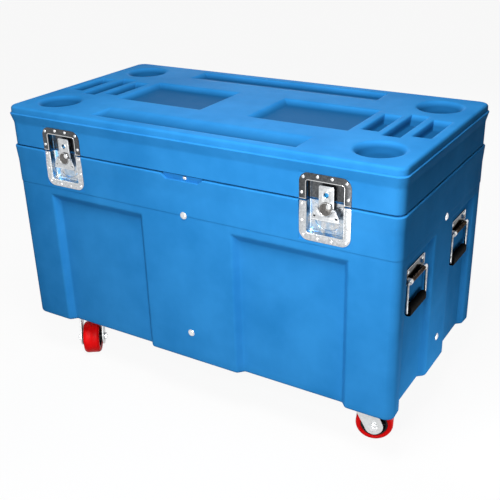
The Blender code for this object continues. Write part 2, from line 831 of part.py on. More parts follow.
def make_fork():
    crown = cylinder(fork_crown_radius, crown_bottom, crown_top, 20)
    reach = fork_inner / 2 + fork_sheet
    bridge = box((-fork_top_half, -reach, crown_bottom), (fork_top_half, reach, crown_top))
    kingpin = cylinder(kingpin_radius, crown_top - fork_crown / 2, crown_top + kingpin_length, 12)
    fork = join(crown, bridge, kingpin, fork_arm(-1), fork_arm(1))
    return cut(fork, cylinder(axle_radius + gap, -reach * 2, reach * 2, 12, matrix=axle_matrix()))


def axle_matrix():
    return Matrix.Translation((caster_trail, 0.0, 0.0)) @ Matrix.Rotation(math.radians(90), 4, "X")


def make_axle():
    reach = fork_inner / 2 + fork_sheet + gap
    rod = cylinder(axle_radius, -reach - axle_head_height / 2, reach + axle_head_height / 2, 12)
    heads = [cylinder(axle_head_radius, *sorted((side * reach, side * (reach + axle_head_height))), 6)
             for side in (-1, 1)]
    return join(rod, *heads)


def make_hub():
    disc, boss = hub_width / 2, hub_boss_length / 2
    bore = axle_radius + bore_clearance
    profile = [(bore, boss), (hub_boss_radius, boss), (hub_boss_radius, disc), (hub_radius, disc),
               (hub_radius, -disc), (hub_boss_radius, -disc), (hub_boss_radius, -boss), (bore, -boss)]
    return turned(profile, 20)


def make_tyre():
    half, inner = tyre_width / 2, hub_radius + gap
    centre_out, centre_up = wheel_radius - tyre_shoulder, half - tyre_shoulder
    upper = []
    for i in range(tyre_shoulder_steps + 1):
        angle = math.pi / 2 * (1 - i / tyre_shoulder_steps)
        upper.append((centre_out + tyre_shoulder * math.cos(angle),
                      centre_up + tyre_shoulder * math.sin(angle)))
    lower = [(radius, -height) for radius, height in reversed(upper)]
    return turned([(inner, half), *upper, *lower, (inner, -half)], 32)


def build_casters():
    plate, fork, axle, hub, tyre = make_caster_plate(), make_fork(), make_axle(), make_hub(), make_tyre()
    places = {"fl": (-1, -1), "fr": (1, -1), "bl": (-1, 1), "br": (1, 1)}
    for corner, (side_x, side_y) in places.items():
        spot = Matrix.Translation((side_x * (half_length - caster_inset_x),
                                   side_y * (half_depth - caster_inset_y), axle_height))
        turn = Matrix.Rotation(math.radians(caster_angles[corner]), 4, "Z")
        place(f"caster_{corner}_plate", plate, zinc, spot)
        place(f"caster_{corner}_fork", fork, zinc, spot @ turn)
        wheel = spot @ turn @ axle_matrix()
        place(f"caster_{corner}_axle", axle, zinc, wheel)
        place(f"caster_{corner}_hub", hub, black_plastic, wheel)
        place(f"caster_{corner}_tyre", tyre, red_rubber, wheel)


# Hinge pieces, in a frame with its origin on the pin's axis

def make_hinge_leaf(direction, own_knuckles):
    """Leaf below the axis (direction -1) or above it (1), with its own knuckles."""
    half = hinge_length / 2
    step = hinge_length / hinge_knuckles
    base = gap - hinge_axis_out
    start = hinge_knuckle_radius + gap
    ends = sorted((direction * start, direction * hinge_leaf))
    leaf = box((-half, ends[0], base), (half, ends[1], base + hinge_sheet))
    lengthwise = Matrix.Rotation(math.radians(90), 4, "Y")
    for index in own_knuckles:
        low, high = -half + index * step + gap, -half + (index + 1) * step - gap
        tongue_ends = sorted((direction * hinge_tongue_start, direction * (start + hinge_sheet)))
        tongue = box((low, tongue_ends[0], base), (high, tongue_ends[1], base + hinge_sheet))
        leaf = join(leaf, tongue, cylinder(hinge_knuckle_radius, low, high, 10, matrix=lengthwise))
    for side in (-1, 1):
        for row in hinge_screw_rows:
            spot = (side * (half - hinge_screw_end), direction * row)
            leaf = join(leaf, cylinder(hinge_screw_radius, base + hinge_sheet / 2,
                                       base + hinge_sheet + hinge_screw_rise, 6,
                                       hinge_screw_radius * hinge_screw_top_share, spot))
    bore = cylinder(hinge_pin_radius + bore_clearance, -hinge_length, hinge_length, 8, matrix=lengthwise)
    return cut(leaf, bore)


def build_hinges():
    body_leaf = make_hinge_leaf(-1, range(0, hinge_knuckles, 2))
    lid_leaf = make_hinge_leaf(1, range(1, hinge_knuckles, 2))
    lengthwise = Matrix.Rotation(math.radians(90), 4, "Y")
    half = hinge_length / 2
    pin = cylinder(hinge_pin_radius, -half, half, 8, matrix=lengthwise)
    seat = half_depth - lid_skirt_inset
    for side_name, side in (("left", 1), ("right", -1)):
        along = side * (half_length - latch_inset)
        frame = wall_matrix(back, along, hinge_axis_height, seat + hinge_axis_out)
        place(f"hinge_{side_name}_body_leaf", body_leaf, zinc, frame)
        place(f"hinge_{side_name}_lid_leaf", lid_leaf, zinc, frame)
        place(f"hinge_{side_name}_pin", pin, zinc, frame)


# Fasteners

def make_bolt():
    """Washer, domed head and shank, with its seat at z 0."""
    seat, top = gap, gap + bolt_washer
    across, up = dome_shares
    profile = [(0.0, top + bolt_head_height), (bolt_head_radius * across, top + bolt_head_height * up),
               (bolt_head_radius, top), (bolt_washer_radius, top), (bolt_washer_radius, seat),
               (bolt_shank_radius, seat), (bolt_shank_radius, -bolt_shank_length), (0.0, -bolt_shank_length)]
    return turned(profile, 10)


def make_stud():
    across, up = dome_shares
    profile = [(0.0, gap + stud_height), (stud_radius * across, gap + stud_height * up), (stud_radius, gap),
               (bolt_shank_radius, gap), (bolt_shank_radius, -bolt_shank_length), (0.0, -bolt_shank_length)]
    return turned(profile, 10)


def build_fasteners():
    bolt = make_bolt()
    for name, angle, height, distance in bolt_places():
        place(name, bolt, zinc, wall_matrix(angle, 0.0, height, distance))
    place("notch_stud", make_stud(), zinc, stud_matrix())


clear_scene()
parts = bpy.data.collections.new("flight_case")
cutter_group = bpy.data.collections.new("flight_case_cutters")
for group in (parts, cutter_group):
    bpy.context.scene.collection.children.link(group)
carrier = bpy.data.objects.new("flight_case_carrier", None)
parts.objects.link(carrier)

blue_plastic = make_material("blue_plastic", (0.015, 0.235, 0.72), 0.42)
seal_rubber = make_material("seal_rubber", (0.02, 0.02, 0.022), 0.7)
zinc = make_material("zinc_steel", (0.72, 0.73, 0.75), 0.3, 1.0)
dark_plate = make_material("dark_plate", (0.05, 0.03, 0.026), 0.35, 0.6)
black_plastic = make_material("black_plastic", (0.012, 0.012, 0.013), 0.45)
red_rubber = make_material("red_rubber", (0.8, 0.012, 0.01), 0.5)

place("body_shell", make_body(), blue_plastic)
hinge_line = Matrix.Translation((0.0, half_depth - lid_skirt_inset + hinge_axis_out, hinge_axis_height))
place("lid_shell", moved(make_lid(), hinge_line.inverted()), blue_plastic, hinge_line)
place("lid_seal", make_seal(), seal_rubber)
build_latches()
build_handles()
build_casters()
build_hinges()
build_fasteners()
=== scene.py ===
# Blue moulded road trunk on red casters: fine surfaces, finishes, light and camera.
# Metres, +Z up, the floor at z 0, the latched front towards -Y.
import json
import math

import bmesh
import bpy
import numpy as np
from mathutils import Matrix, Vector


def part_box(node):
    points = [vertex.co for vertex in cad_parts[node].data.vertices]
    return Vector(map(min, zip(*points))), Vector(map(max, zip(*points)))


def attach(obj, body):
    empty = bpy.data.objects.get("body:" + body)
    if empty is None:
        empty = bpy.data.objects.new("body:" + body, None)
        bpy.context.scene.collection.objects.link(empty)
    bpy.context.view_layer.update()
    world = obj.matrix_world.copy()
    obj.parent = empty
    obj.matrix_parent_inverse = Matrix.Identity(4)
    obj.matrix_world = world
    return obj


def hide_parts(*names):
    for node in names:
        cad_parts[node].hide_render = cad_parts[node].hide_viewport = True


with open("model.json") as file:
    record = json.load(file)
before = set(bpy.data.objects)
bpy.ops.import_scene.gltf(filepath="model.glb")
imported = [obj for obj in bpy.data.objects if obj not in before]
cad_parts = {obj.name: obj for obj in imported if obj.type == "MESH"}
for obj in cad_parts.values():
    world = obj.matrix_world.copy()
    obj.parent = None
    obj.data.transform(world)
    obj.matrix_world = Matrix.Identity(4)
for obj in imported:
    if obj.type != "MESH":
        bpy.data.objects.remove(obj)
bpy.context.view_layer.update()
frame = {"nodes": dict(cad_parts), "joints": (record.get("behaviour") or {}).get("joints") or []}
jointPlace = {joint["name"]: joint["pos_m"] for joint in frame["joints"] if "pos_m" in joint}
print("frame loaded:", len(frame["nodes"]), "nodes")

mm = 0.001
bodyLow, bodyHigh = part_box("body_shell")
lidLow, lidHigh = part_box("lid_shell")
halfLength, halfDepth = lidHigh.x, lidHigh.y
quarter = np.radians(np.linspace(0, 90, 7))  # the angles of a rounded edge
easeIn, easeOut = 1 - np.cos(quarter), 1 - np.sin(quarter)
crisp = 0.05 * mm  # half the width of a crisp step in a surface


# Sizes of the pieces are written in millimetres, and kept in metres
def metres(**sizes):
    return {name: tuple(part * mm for part in size) if isinstance(size, tuple) else size * mm
            for name, size in sizes.items()}


# Array helpers

# softPlus is a straight ramp for s > 0 and nothing for s < 0, with the bend rounded over about k
def softPlus(s, k):
    return k * np.logaddexp(0.0, s / k)


# ramp climbs from 0 to 1 while s goes from 0 to width, with both of its bends rounded by k
def ramp(s, width, k):
    return (softPlus(s, k) - softPlus(s - width, k)) / width


# softMin is the smaller of two surfaces, with the valley between them rounded over k
def softMin(a, b, k):
    mix = np.clip(0.5 + 0.5 * (b - a) / k, 0.0, 1.0)
    return b * (1 - mix) + a * mix - k * mix * (1 - mix)


# gridLines gives lines at a coarse step, with finer steps inside the spans (low, high, step)
def gridLines(low, high, step, spans=()):
    coarse = np.linspace(low, high, int(math.ceil((high - low) / step)) + 1)
    fine = []
    for start, end, smallStep in spans:
        start, end = max(start, low), min(end, high)
        if end > start:
            coarse = coarse[(coarse < start - smallStep / 2) | (coarse > end + smallStep / 2)]
            fine.append(np.linspace(start, end, int(math.ceil((end - start) / smallStep)) + 1))
    values = np.sort(np.concatenate([coarse, *fine, [low, high]]))
    return values[np.concatenate([[True], np.diff(values) > 0.02 * mm])]


# The spans and their mirror images across 0
def bothSides(spans):
    return [*spans, *[(-end, -start, step) for start, end, step in spans]]


# A pair of lines close together at each place, where the surface steps
def crispSpans(places):
    return [(place - crisp, place + crisp, 2 * crisp) for place in places]


# Grid lines over a slope that runs from low to high, and a little past both of its bends
def slopeSpan(low, high, step, before=4 * mm, after=4 * mm):
    return low - before, high + after, step


# A patch is a grid of points, rows by columns, with its faces; columns cross rows gives the outward side
def gridPatch(points, closeColumns=False, closeRows=False):
    rows, columns = points.shape[:2]
    index = np.arange(rows * columns).reshape(rows, columns)
    if closeColumns:
        index = np.concatenate([index, index[:, :1]], axis=1)
    if closeRows:
        index = np.concatenate([index, index[:1]], axis=0)
    a, b, c, d = index[:-1, :-1], index[:-1, 1:], index[1:, 1:], index[1:, :-1]
    return points.reshape(-1, 3), np.stack([a, b, c, d], axis=-1).reshape(-1, 4)


# A fan closes a ring of points on their middle
def fanPatch(ring, flip=False):
    count = len(ring)
    points = np.concatenate([ring, ring.mean(axis=0, keepdims=True)])
    step = np.arange(count)
    faces = np.stack([step, (step + 1) % count, np.full(count, count)], axis=-1)
    return points, faces[:, ::-1] if flip else faces


# A swept section: rings of points skinned in order, closed by a fan at each end
def sweptPatches(rings):
    return [gridPatch(rings, closeColumns=True), fanPatch(rings[0], flip=True), fanPatch(rings[-1])]


# Rings of a profile (radius, height) swept round local Z, from bottom to top on its outer side
def turnedRings(profile, segments):
    profile = np.asarray(profile, float)
    angle = np.linspace(0, 2 * np.pi, segments, endpoint=False)
    radius, height = profile[:, :1], profile[:, 1:]
    return np.stack([radius * np.cos(angle), radius * np.sin(angle), height + 0 * angle], axis=-1)


# A ring: a closed profile swept round local Z
def turnedRing(profile, segments):
    return [gridPatch(turnedRings(profile, segments), closeColumns=True, closeRows=True)]


# A solid: an open profile swept round local Z, and closed at both ends
def turnedSolid(profile, segments=32):
    return sweptPatches(turnedRings(profile, segments))


# Profile of a disc with its lower and upper edges cut off by chamfers of those sizes
def softDisc(radius, low, high, lowCut, highCut):
    return [(radius - lowCut, low), (radius, low + lowCut),
            (radius, high - highCut), (radius - highCut, high)]


# Dome on a short edge: the height is base + edge + (rise - edge) * sqrt(1 - (r / radius)^2)
def dome(radius, base, edge, rise, segments=20):
    share = np.cos(np.linspace(0, 0.46 * np.pi, 7))
    crown = np.stack([radius * share, base + edge + (rise - edge) * np.sqrt(1 - share ** 2)], axis=-1)
    return turnedSolid(np.vstack([[(radius, base)], crown]), segments)


# Tube: a circle carried along a path, on frames turned as little as possible from point to point
def tubePatches(path, radius, sides=12, closed=False):
    path = np.asarray(path, float)
    if closed:
        tangent = np.roll(path, -1, axis=0) - np.roll(path, 1, axis=0)
    else:
        tangent = np.gradient(path, axis=0)
    tangent /= np.linalg.norm(tangent, axis=1, keepdims=True)
    reference = Vector(tangent[0]).orthogonal().normalized()
    sideways = []
    for direction in tangent:
        reference = (reference - Vector(direction) * reference.dot(Vector(direction))).normalized()
        sideways.append(reference.copy())
    sideways = np.array(sideways)
    upward = np.cross(tangent, sideways)
    angle = np.linspace(0, 2 * np.pi, sides, endpoint=False)
    points = path[:, None] + radius * (np.cos(angle)[None, :, None] * sideways[:, None]
                                       + np.sin(angle)[None, :, None] * upward[:, None])
    return [gridPatch(points, closeColumns=True, closeRows=True)] if closed else sweptPatches(points)


# Round bar along x from start to end, at one y and z; the pair has its mirror image across x = 0 too
def barPatches(start, end, y, z, radius, count, sides):
    x = np.linspace(start, end, count)
    return tubePatches(np.column_stack([x, 0 * x + y, 0 * x + z]), radius, sides)


def barPair(start, end, *rest):
    return barPatches(-start, -end, *rest) + barPatches(start, end, *rest)


# A flat line lifted to a height
def atHeight(line, height):
    return np.column_stack([line, np.full(len(line), height)])


# Patches turned and carried by a matrix
def moved(patches, matrix):
    turn, place = np.array(matrix.to_3x3()), np.array(matrix.to_translation())
    return [(points @ turn.T + place, faces) for points, faces in patches]


def shifted(patches, x=0.0, y=0.0, z=0.0):
    return moved(patches, Matrix.Translation((x, y, z)))


# Copies at each (x, y) and at its mirror image across x = 0
def mirrored(patches, *spots):
    return [patch for x, y in spots for side in (-1, 1) for patch in shifted(patches, side * x, y)]


# A frame on a wall or an axle: local z points along outward, local y up, local x along the wall
def outwardFrame(origin, outward):
    outward = Vector(outward).normalized()
    along = Vector((0, 0, 1)).cross(outward).normalized()
    axes = Matrix((along, outward.cross(along), outward)).transposed()
    return Matrix.Translation(Vector(origin)) @ axes.to_4x4()


# A sheet-metal blank: a flat outline with holes, cut to a thickness, with its edges rounded
def sheetPatches(outline, low, high, edge, holes=()):
    curve = bpy.data.curves.new("blank", "CURVE")
    curve.dimensions, curve.fill_mode = "2D", "BOTH"
    curve.extrude, curve.bevel_depth, curve.bevel_resolution = (high - low) / 2 - edge, edge, 2
    curve.offset = -edge
    for loop in [outline, *holes]:
        spline = curve.splines.new("POLY")
        spline.points.add(len(loop) - 1)
        flat = np.column_stack([loop, np.zeros(len(loop)), np.ones(len(loop))])
        spline.points.foreach_set("co", flat.ravel())
        spline.use_cyclic_u = True
    blank = bpy.data.objects.new("blank", curve)
    bpy.context.scene.collection.objects.link(blank)
    mesh = bpy.data.meshes.new_from_object(blank.evaluated_get(bpy.context.evaluated_depsgraph_get()))
    bpy.data.objects.remove(blank, do_unlink=True)
    mesh.calc_loop_triangles()
    points = np.zeros(len(mesh.vertices) * 3)
    mesh.vertices.foreach_get("co", points)
    faces = np.zeros(len(mesh.loop_triangles) * 3, int)
    mesh.loop_triangles.foreach_get("vertices", faces)
    return [(points.reshape(-1, 3) + (0, 0, (low + high) / 2), faces.reshape(-1, 3))]


# Points of an arc: centre + radius * (cos, sin) of the angles from start to end, in degrees
def arcPoints(centre, radius, start, end, count):
    angle = np.radians(np.linspace(start, end, count))
    return np.stack([centre[0] + radius * np.cos(angle), centre[1] + radius * np.sin(angle)], axis=-1)


def circleLoop(x, y, radius, count=20):
    return arcPoints((x, y), radius, 0, 360 * (1 - 1 / count), count)


# The radii are one for all corners, or lower right, upper right, upper left and lower left
def roundedBox(halfX, lowY, highY, radii, count=7):
    corners = ((1, lowY, -90), (1, highY, 0), (-1, highY, 90), (-1, lowY, 180))
    loops = []
    for (side, y, start), radius in zip(corners, np.broadcast_to(radii, 4)):
        radius = max(radius, 0.05 * mm)
        centre = (side * (halfX - radius), y + radius if y == lowY else y - radius)
        loops.append(arcPoints(centre, radius, start, start + 90, count if radius > 0.1 * mm else 2))
    return np.concatenate(loops)


# Rounds every corner of a flat outline with an arc drawn as a quadratic curve between its ends
def softCorners(outline, radius, steps=4):
    outline = np.asarray(outline, float)
    before, after = np.roll(outline, 1, axis=0) - outline, np.roll(outline, -1, axis=0) - outline
    beforeLength = np.linalg.norm(before, axis=1)[:, None]
    afterLength = np.linalg.norm(after, axis=1)[:, None]
    reach = np.minimum(radius, 0.45 * np.minimum(beforeLength, afterLength))
    start = outline + before / beforeLength * reach
    end = outline + after / afterLength * reach
    t = np.linspace(0, 1, steps + 1)[None, :, None]
    return ((1 - t) ** 2 * start[:, None] + 2 * t * (1 - t) * outline[:, None]
            + t ** 2 * end[:, None]).reshape(-1, 2)


hexagon = arcPoints((0, 0), 1.0, 0, 300, 6)
alongX = Matrix(((0, 0, 1, 0), (1, 0, 0, 0), (0, 1, 0, 0), (0, 0, 0, 1)))  # local z becomes x, x becomes y
turnX = Matrix.Rotation(math.pi / 2, 4, "X")
turnY = Matrix.Rotation(math.pi / 2, 4, "Y")


# One mesh out of patches: close points are welded, and edges steeper than sharp stay crisp
def makePiece(name, patches, material, body, node=None, place=None, sharp=35, merge=0.004 * mm,
              recalculate=False):
    if place is not None:
        patches = moved(patches, place)
    points = np.concatenate([p for p, _ in patches])
    starts = np.cumsum([0] + [len(p) for p, _ in patches])
    faces = [face for (_, f), start in zip(patches, starts) for face in (f + start).tolist()]
    mesh = bpy.data.meshes.new(name)
    mesh.from_pydata(points.tolist(), [], faces)
    bm = bmesh.new()
    bm.from_mesh(mesh)
    bmesh.ops.remove_doubles(bm, verts=bm.verts, dist=merge)
    if recalculate:
        bmesh.ops.recalc_face_normals(bm, faces=bm.faces)
    bm.to_mesh(mesh)
    bm.free()
    mesh.shade_smooth()
    mesh.set_sharp_from_angle(angle=math.radians(sharp))
    piece = bpy.data.objects.new(name, mesh)
    bpy.context.scene.collection.objects.link(piece)
    piece.data.materials.append(material)
    if node:
        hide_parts(node)
    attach(piece, body)
    return piece


# Pieces that share a place. Each row is a label, patches, a material and a body, then the ending of the
# node that the piece replaces, and a slot where the material's own does not fit, which is not used.
def makeSet(label, node, place, rows):
    facingEitherWay = ("Dish", "Keeper", "Fork")  # their faces are turned outwards afterwards
    for ending, patches, material, body, *rest in rows:
        part, slot = (*rest, None, None)[:2]
        makePiece(label + ending, patches, material, body, f"{node}_{part}" if part else None, place,
                  recalculate=ending in facingEitherWay)


# Materials

# Each input is linked to a socket, or given a value
def feed(tree, node, inputs):
    for name, value in inputs.items():
        if isinstance(value, bpy.types.NodeSocket):
            tree.links.new(value, node.inputs[name])
        else:
            node.inputs[name].default_value = value


def addNode(tree, kind, inputs=(), **settings):
    node = tree.nodes.new("ShaderNode" + kind)
    for name, value in settings.items():
        setattr(node, name, value)
    feed(tree, node, dict(inputs))
    return node


def maths(tree, operation, *values, clamp=False):
    return addNode(tree, "Math", enumerate(values), operation=operation, use_clamp=clamp).outputs[0]


def mixColours(tree, share, under, over):
    return addNode(tree, "Mix", {"Factor": share, "A": under, "B": over}, data_type="RGBA").outputs["Result"]


def objectPlace(tree):
    return addNode(tree, "TexCoord").outputs["Object"]


def noiseNode(tree, scale, detail=3.0, roughness=0.5, stretch=None):
    place = objectPlace(tree)
    if stretch:
        place = addNode(tree, "Mapping", {"Vector": place, "Scale": stretch}).outputs["Vector"]
    return addNode(tree, "TexNoise", {"Vector": place, "Scale": scale, "Detail": detail,
                                      "Roughness": roughness}).outputs["Fac"]


# The stops are (position, colour), from the first to the last
def rampNode(tree, value, *stops):
    node = addNode(tree, "ValToRGB", {"Fac": value})
    elements = node.color_ramp.elements
    for position, colour in stops[1:-1]:
        elements.new(position).color = (*colour, 1)
    for index in (0, -1):
        elements[index].position = stops[index][0]
        elements[index].color = (*stops[index][1], 1)
    return node.outputs["Color"]


def rangeNode(tree, value, low, high, start=0.0, end=1.0):
    return addNode(tree, "MapRange", {"Value": value, "From Min": start, "From Max": end,
                                      "To Min": low, "To Max": high}).outputs["Result"]


def bumpNode(tree, height, distance, strength, **below):
    return addNode(tree, "Bump", {"Height": height, "Distance": distance, "Strength": strength,
                                  **below}).outputs["Normal"]


def newMaterial(name):
    material = bpy.data.materials.new(name)
    material.use_nodes = True
    return material, material.node_tree, material.node_tree.nodes["Principled BSDF"]


bluePlastic = {
    "deep": (0.022, 0.225, 0.58),
    "light": (0.034, 0.280, 0.685),
    "pit": (0.011, 0.115, 0.30, 1),
    "seam": (0.003, 0.040, 0.110, 1),
    "roughness": (0.46, 0.58),
    "specular": 0.004,
    "peelScale": 420.0,
    "waveScale": 28.0,
    **metres(pitDepth=13, pitEdge=2, rimWidth=20, seamHalf=1.9, lipWidth=12, wave=0.6, peel=0.12),
}


def makeBlue():
    # Moulded polyethylene: slow colour clouds, orange-peel grain and soft waves
    material, tree, shader = newMaterial("bluePolyethylene")
    clouds = noiseNode(tree, 5.0, 4.0, 0.6)
    colour = rampNode(tree, clouds, (0.35, bluePlastic["deep"]), (0.65, bluePlastic["light"]))
    # Painted shade darkens the pits of the lid, below the top and inside its rim, and painted shade darkens
    # the outer lips of the seam
    split = addNode(tree, "SeparateXYZ", {"Vector": objectPlace(tree)}).outputs
    depth = rangeNode(tree, split["Z"], 0, 1, lidHigh.z - bluePlastic["pitEdge"],
                      lidHigh.z - bluePlastic["pitDepth"])

    def within(axis, middle, reach):
        return maths(tree, "COMPARE", split[axis], middle, reach)

    def insideWalls(width):
        return maths(tree, "MULTIPLY", within("X", 0, halfLength - width), within("Y", 0, halfDepth - width))

    nearTop = maths(tree, "MULTIPLY", depth, within("Z", lidHigh.z, 2 * bluePlastic["pitDepth"]))
    pits = maths(tree, "MULTIPLY", nearTop, insideWalls(bluePlastic["rimWidth"]))
    # Painted shade: the lid's pits take the darker pit blue, for the shade that falls in them
    colour = mixColours(tree, pits, colour, bluePlastic["pit"])
    # Painted shade along the seam: outer surfaces within seamHalf of the lid's lower edge height take the
    # dark seam blue
    lips = within("Z", lidLow.z, bluePlastic["seamHalf"])
    innerLips = maths(tree, "MULTIPLY", lips, insideWalls(bluePlastic["lipWidth"]))
    seamShadeMask = maths(tree, "SUBTRACT", lips, innerLips)
    waves = bumpNode(tree, noiseNode(tree, bluePlastic["waveScale"], 2.0), bluePlastic["wave"], 0.25)
    feed(tree, shader, {
        "Specular IOR Level": bluePlastic["specular"],
        "Base Color": mixColours(tree, seamShadeMask, colour, bluePlastic["seam"]),
        "Roughness": rangeNode(tree, noiseNode(tree, 35.0), *bluePlastic["roughness"]),
        "Normal": bumpNode(tree, noiseNode(tree, bluePlastic["peelScale"], 2.0), bluePlastic["peel"], 0.35,
                           Normal=waves),
    })
    return material


def makeMetal(name, low, high, roughness, grain, strength=0.25, metallic=1.0, paintedReflection=None):
    # Plated sheet: mottled tone, streaky roughness and a fine grain. Where a painted reflection is given,
    # patches of painted blue reflection, for the blue moulding mirrored in the metal, show between its two
    # depths (world y), as in the walls of the trays.
    material, tree, shader = newMaterial(name)
    colour = rampNode(tree, noiseNode(tree, grain, 4.0, 0.6), (0.35, low), (0.65, high))
    if paintedReflection:
        black, white = (0, 0, 0), (1, 1, 1)
        split = addNode(tree, "SeparateXYZ", {"Vector": objectPlace(tree)}).outputs
        depth = rangeNode(tree, split["Y"], 0, 1, paintedReflection["from"], paintedReflection["to"])
        walls = rampNode(tree, depth, (0, black), (0.08, white), (0.85, white), (1, (paintedReflection["floor"],) * 3))
        patches = rampNode(tree, noiseNode(tree, paintedReflection["patch"], 3.0, 0.55, paintedReflection["stretch"]),
                           (0.40, black), (0.54, white))
        # Painted reflection: blue patches on the walls stand for the blue moulding reflected in the metal
        colour = mixColours(tree, maths(tree, "MULTIPLY", walls, patches), colour, paintedReflection["colour"])
    streaks = noiseNode(tree, grain * 2.2)
    feed(tree, shader, {
        "Metallic": metallic,
        "Base Color": colour,
        "Roughness": rangeNode(tree, streaks, *roughness),
        "Normal": bumpNode(tree, streaks, 0.05 * mm, strength),
    })
    return material


def makePlain(name, low, high, roughness, grain, depth=0.1 * mm, strength=0.3, specular=0.5):
    # Plastic or rubber: slight tone change and a grain of its own scale
    material, tree, shader = newMaterial(name)
    feed(tree, shader, {
        "Specular IOR Level": specular,
        "Base Color": rampNode(tree, noiseNode(tree, grain * 0.1, 4.0), (0.3, low), (0.7, high)),
        "Roughness": rangeNode(tree, noiseNode(tree, grain * 0.3), *roughness),
        "Normal": bumpNode(tree, noiseNode(tree, grain, 2.0), depth, strength),
    })
    return material


latchAt = jointPlace["latch_right_turn"]
# Painted blue reflection on the walls of the dish and keeper trays
dishReflection = {"from": latchAt[1], "to": latchAt[1] + 16 * mm, "patch": 60.0, "stretch": (1.0, 1.0, 0.5),
            "floor": 0.35, "colour": (0.12, 0.38, 0.68, 1)}
keeperReflection = dict(dishReflection, colour=(0.04, 0.30, 0.62, 1), floor=0.0)
blue = makeBlue()
zinc = makeMetal("zincPlate", (0.52, 0.54, 0.56), (0.70, 0.72, 0.73), (0.22, 0.40), 150.0)
trayZinc = makeMetal("trayZinc", (0.50, 0.52, 0.54), (0.70, 0.72, 0.74), (0.14, 0.34), 150.0,
                     paintedReflection=dishReflection)
# Painted shade: the keepers' zinc is painted dark grey, for the dark reflection their flanges show
darkPlate = makeMetal("darkPlate", (0.060, 0.064, 0.068), (0.115, 0.120, 0.126), (0.22, 0.36),
                      220.0, paintedReflection=keeperReflection)
camSteel = makeMetal("camSteel", (0.10, 0.097, 0.094), (0.20, 0.19, 0.18), (0.22, 0.35), 300.0)
bright = makeMetal("brightSteel", (0.72, 0.73, 0.74), (0.84, 0.85, 0.85), (0.12, 0.22),
                   200.0, strength=0.1)
handleSteel = makeMetal("handleSteel", (0.22, 0.23, 0.24), (0.48, 0.49, 0.50), (0.12, 0.24),
                        90.0)
casterZinc = makeMetal("casterZinc", (0.66, 0.68, 0.68), (0.76, 0.77, 0.77), (0.40, 0.52),
                       120.0, metallic=0.75)
zincBright = makeMetal("rivetZinc", (0.70, 0.70, 0.70), (0.82, 0.82, 0.81), (0.20, 0.32),
                       260.0, metallic=0.85)
# The spring's coppery patches on near-black steel are painted glints
springSteel = makeMetal("springSteel", (0.008, 0.007, 0.006), (0.065, 0.046, 0.034),
                        (0.12, 0.25), 110.0)
# Painted shade: the handle plates' chrome is painted near black, for the dark reflection they show
darkChrome = makeMetal("darkChrome", (0.010, 0.011, 0.012), (0.05, 0.053, 0.056),
                       (0.08, 0.20), 120.0)
blackPlastic = makePlain("blackPlastic", (0.004, 0.005, 0.006), (0.009, 0.010, 0.011),
                         (0.35, 0.5), 600.0, specular=0.25)
blackRubber = makePlain("blackRubber", (0.002, 0.002, 0.002), (0.005, 0.005, 0.005),
                        (0.45, 0.6), 900.0, specular=0.012)
redTread = makePlain("redTread", (0.86, 0.002, 0.003), (0.95, 0.004, 0.005), (0.38, 0.5), 500.0,
                     0.08 * mm, 0.25, 0.12)
sealRubber = makePlain("sealRubber", (0.012, 0.012, 0.013), (0.02, 0.02, 0.021), (0.6, 0.75), 700.0)
print("materials made")


# Body and lid mouldings

shell = {
    "cornerSteps": 10,
    **metres(cornerRadius=24, wall=34, faceInset=5.5, bandInset=4.5, bandDrop=109, flareHeight=46,
             flareInset=2, bottomRound=9, rimRound=2.6, floor=12, fillet=12, hem=2, coarse=14),
}
latch = {
    "along": abs(latchAt[0]),
    "height": latchAt[2],
    "seat": halfDepth + latchAt[1],
    **metres(seatHalf=67.6, pocketHalf=49.5, pocketLow=-66.5, pocketHigh=67.5, pocketDepth=18,
             plateLow=-84, plateHigh=85, plateGap=0.6),
}
hingePlace = {
    "height": jointPlace["lid_hinge"][2],
    **metres(half=61.6, leaf=45.6, grooveHalf=4.6, grooveDepth=2.7),
}
panel = metres(long=(143.5, 467), short=(66, 253), top=131, depth=18, draft=15, topSlope=22, rimRound=1.8)
notch = metres(lowHalf=50.5, highHalf=65.5, height=13, depth=14, ease=40, edge=3)


# Stations round a rounded rectangle, anticlockwise from the front's left end. Each has a normal, the
# point its rounding starts from at no inset, its wall (0 front, 1 right, 2 back, 3 left, -1 corner)
# and its place along the wall, which grows with x on the front and back and with y on the ends.
def outlineStations(frontLines, backLines, sideLines, cornerAngles):
    reach = np.array((halfLength, halfDepth)) - shell["cornerRadius"]
    normals, bases, walls, alongs = [], [], [], []
    for wall, outward in enumerate(np.array(((0, -1), (1, 0), (0, 1), (-1, 0)))):
        tangent = np.array((-outward[1], outward[0]))
        along = (frontLines, sideLines, backLines, sideLines)[wall][::tangent.sum()]
        turn = math.atan2(outward[1], outward[0]) + cornerAngles
        normals += [np.tile(outward, (len(along), 1)), np.stack([np.cos(turn), np.sin(turn)], axis=-1)]
        bases += [along[:, None] * np.abs(tangent) + reach * outward,
                  np.tile(reach * (outward + tangent), (len(turn), 1))]
        walls += [np.full(len(along), wall), np.full(len(turn), -1)]
        alongs += [along, 0 * turn]
    normals, bases = np.concatenate(normals).astype(float), np.concatenate(bases)
    walls, alongs = np.concatenate(walls), np.concatenate(alongs)
    pull = np.where(walls[:, None] < 0, np.sign(bases), normals)
    return {"normal": normals, "base": bases, "pull": pull, "wall": walls, "along": alongs}


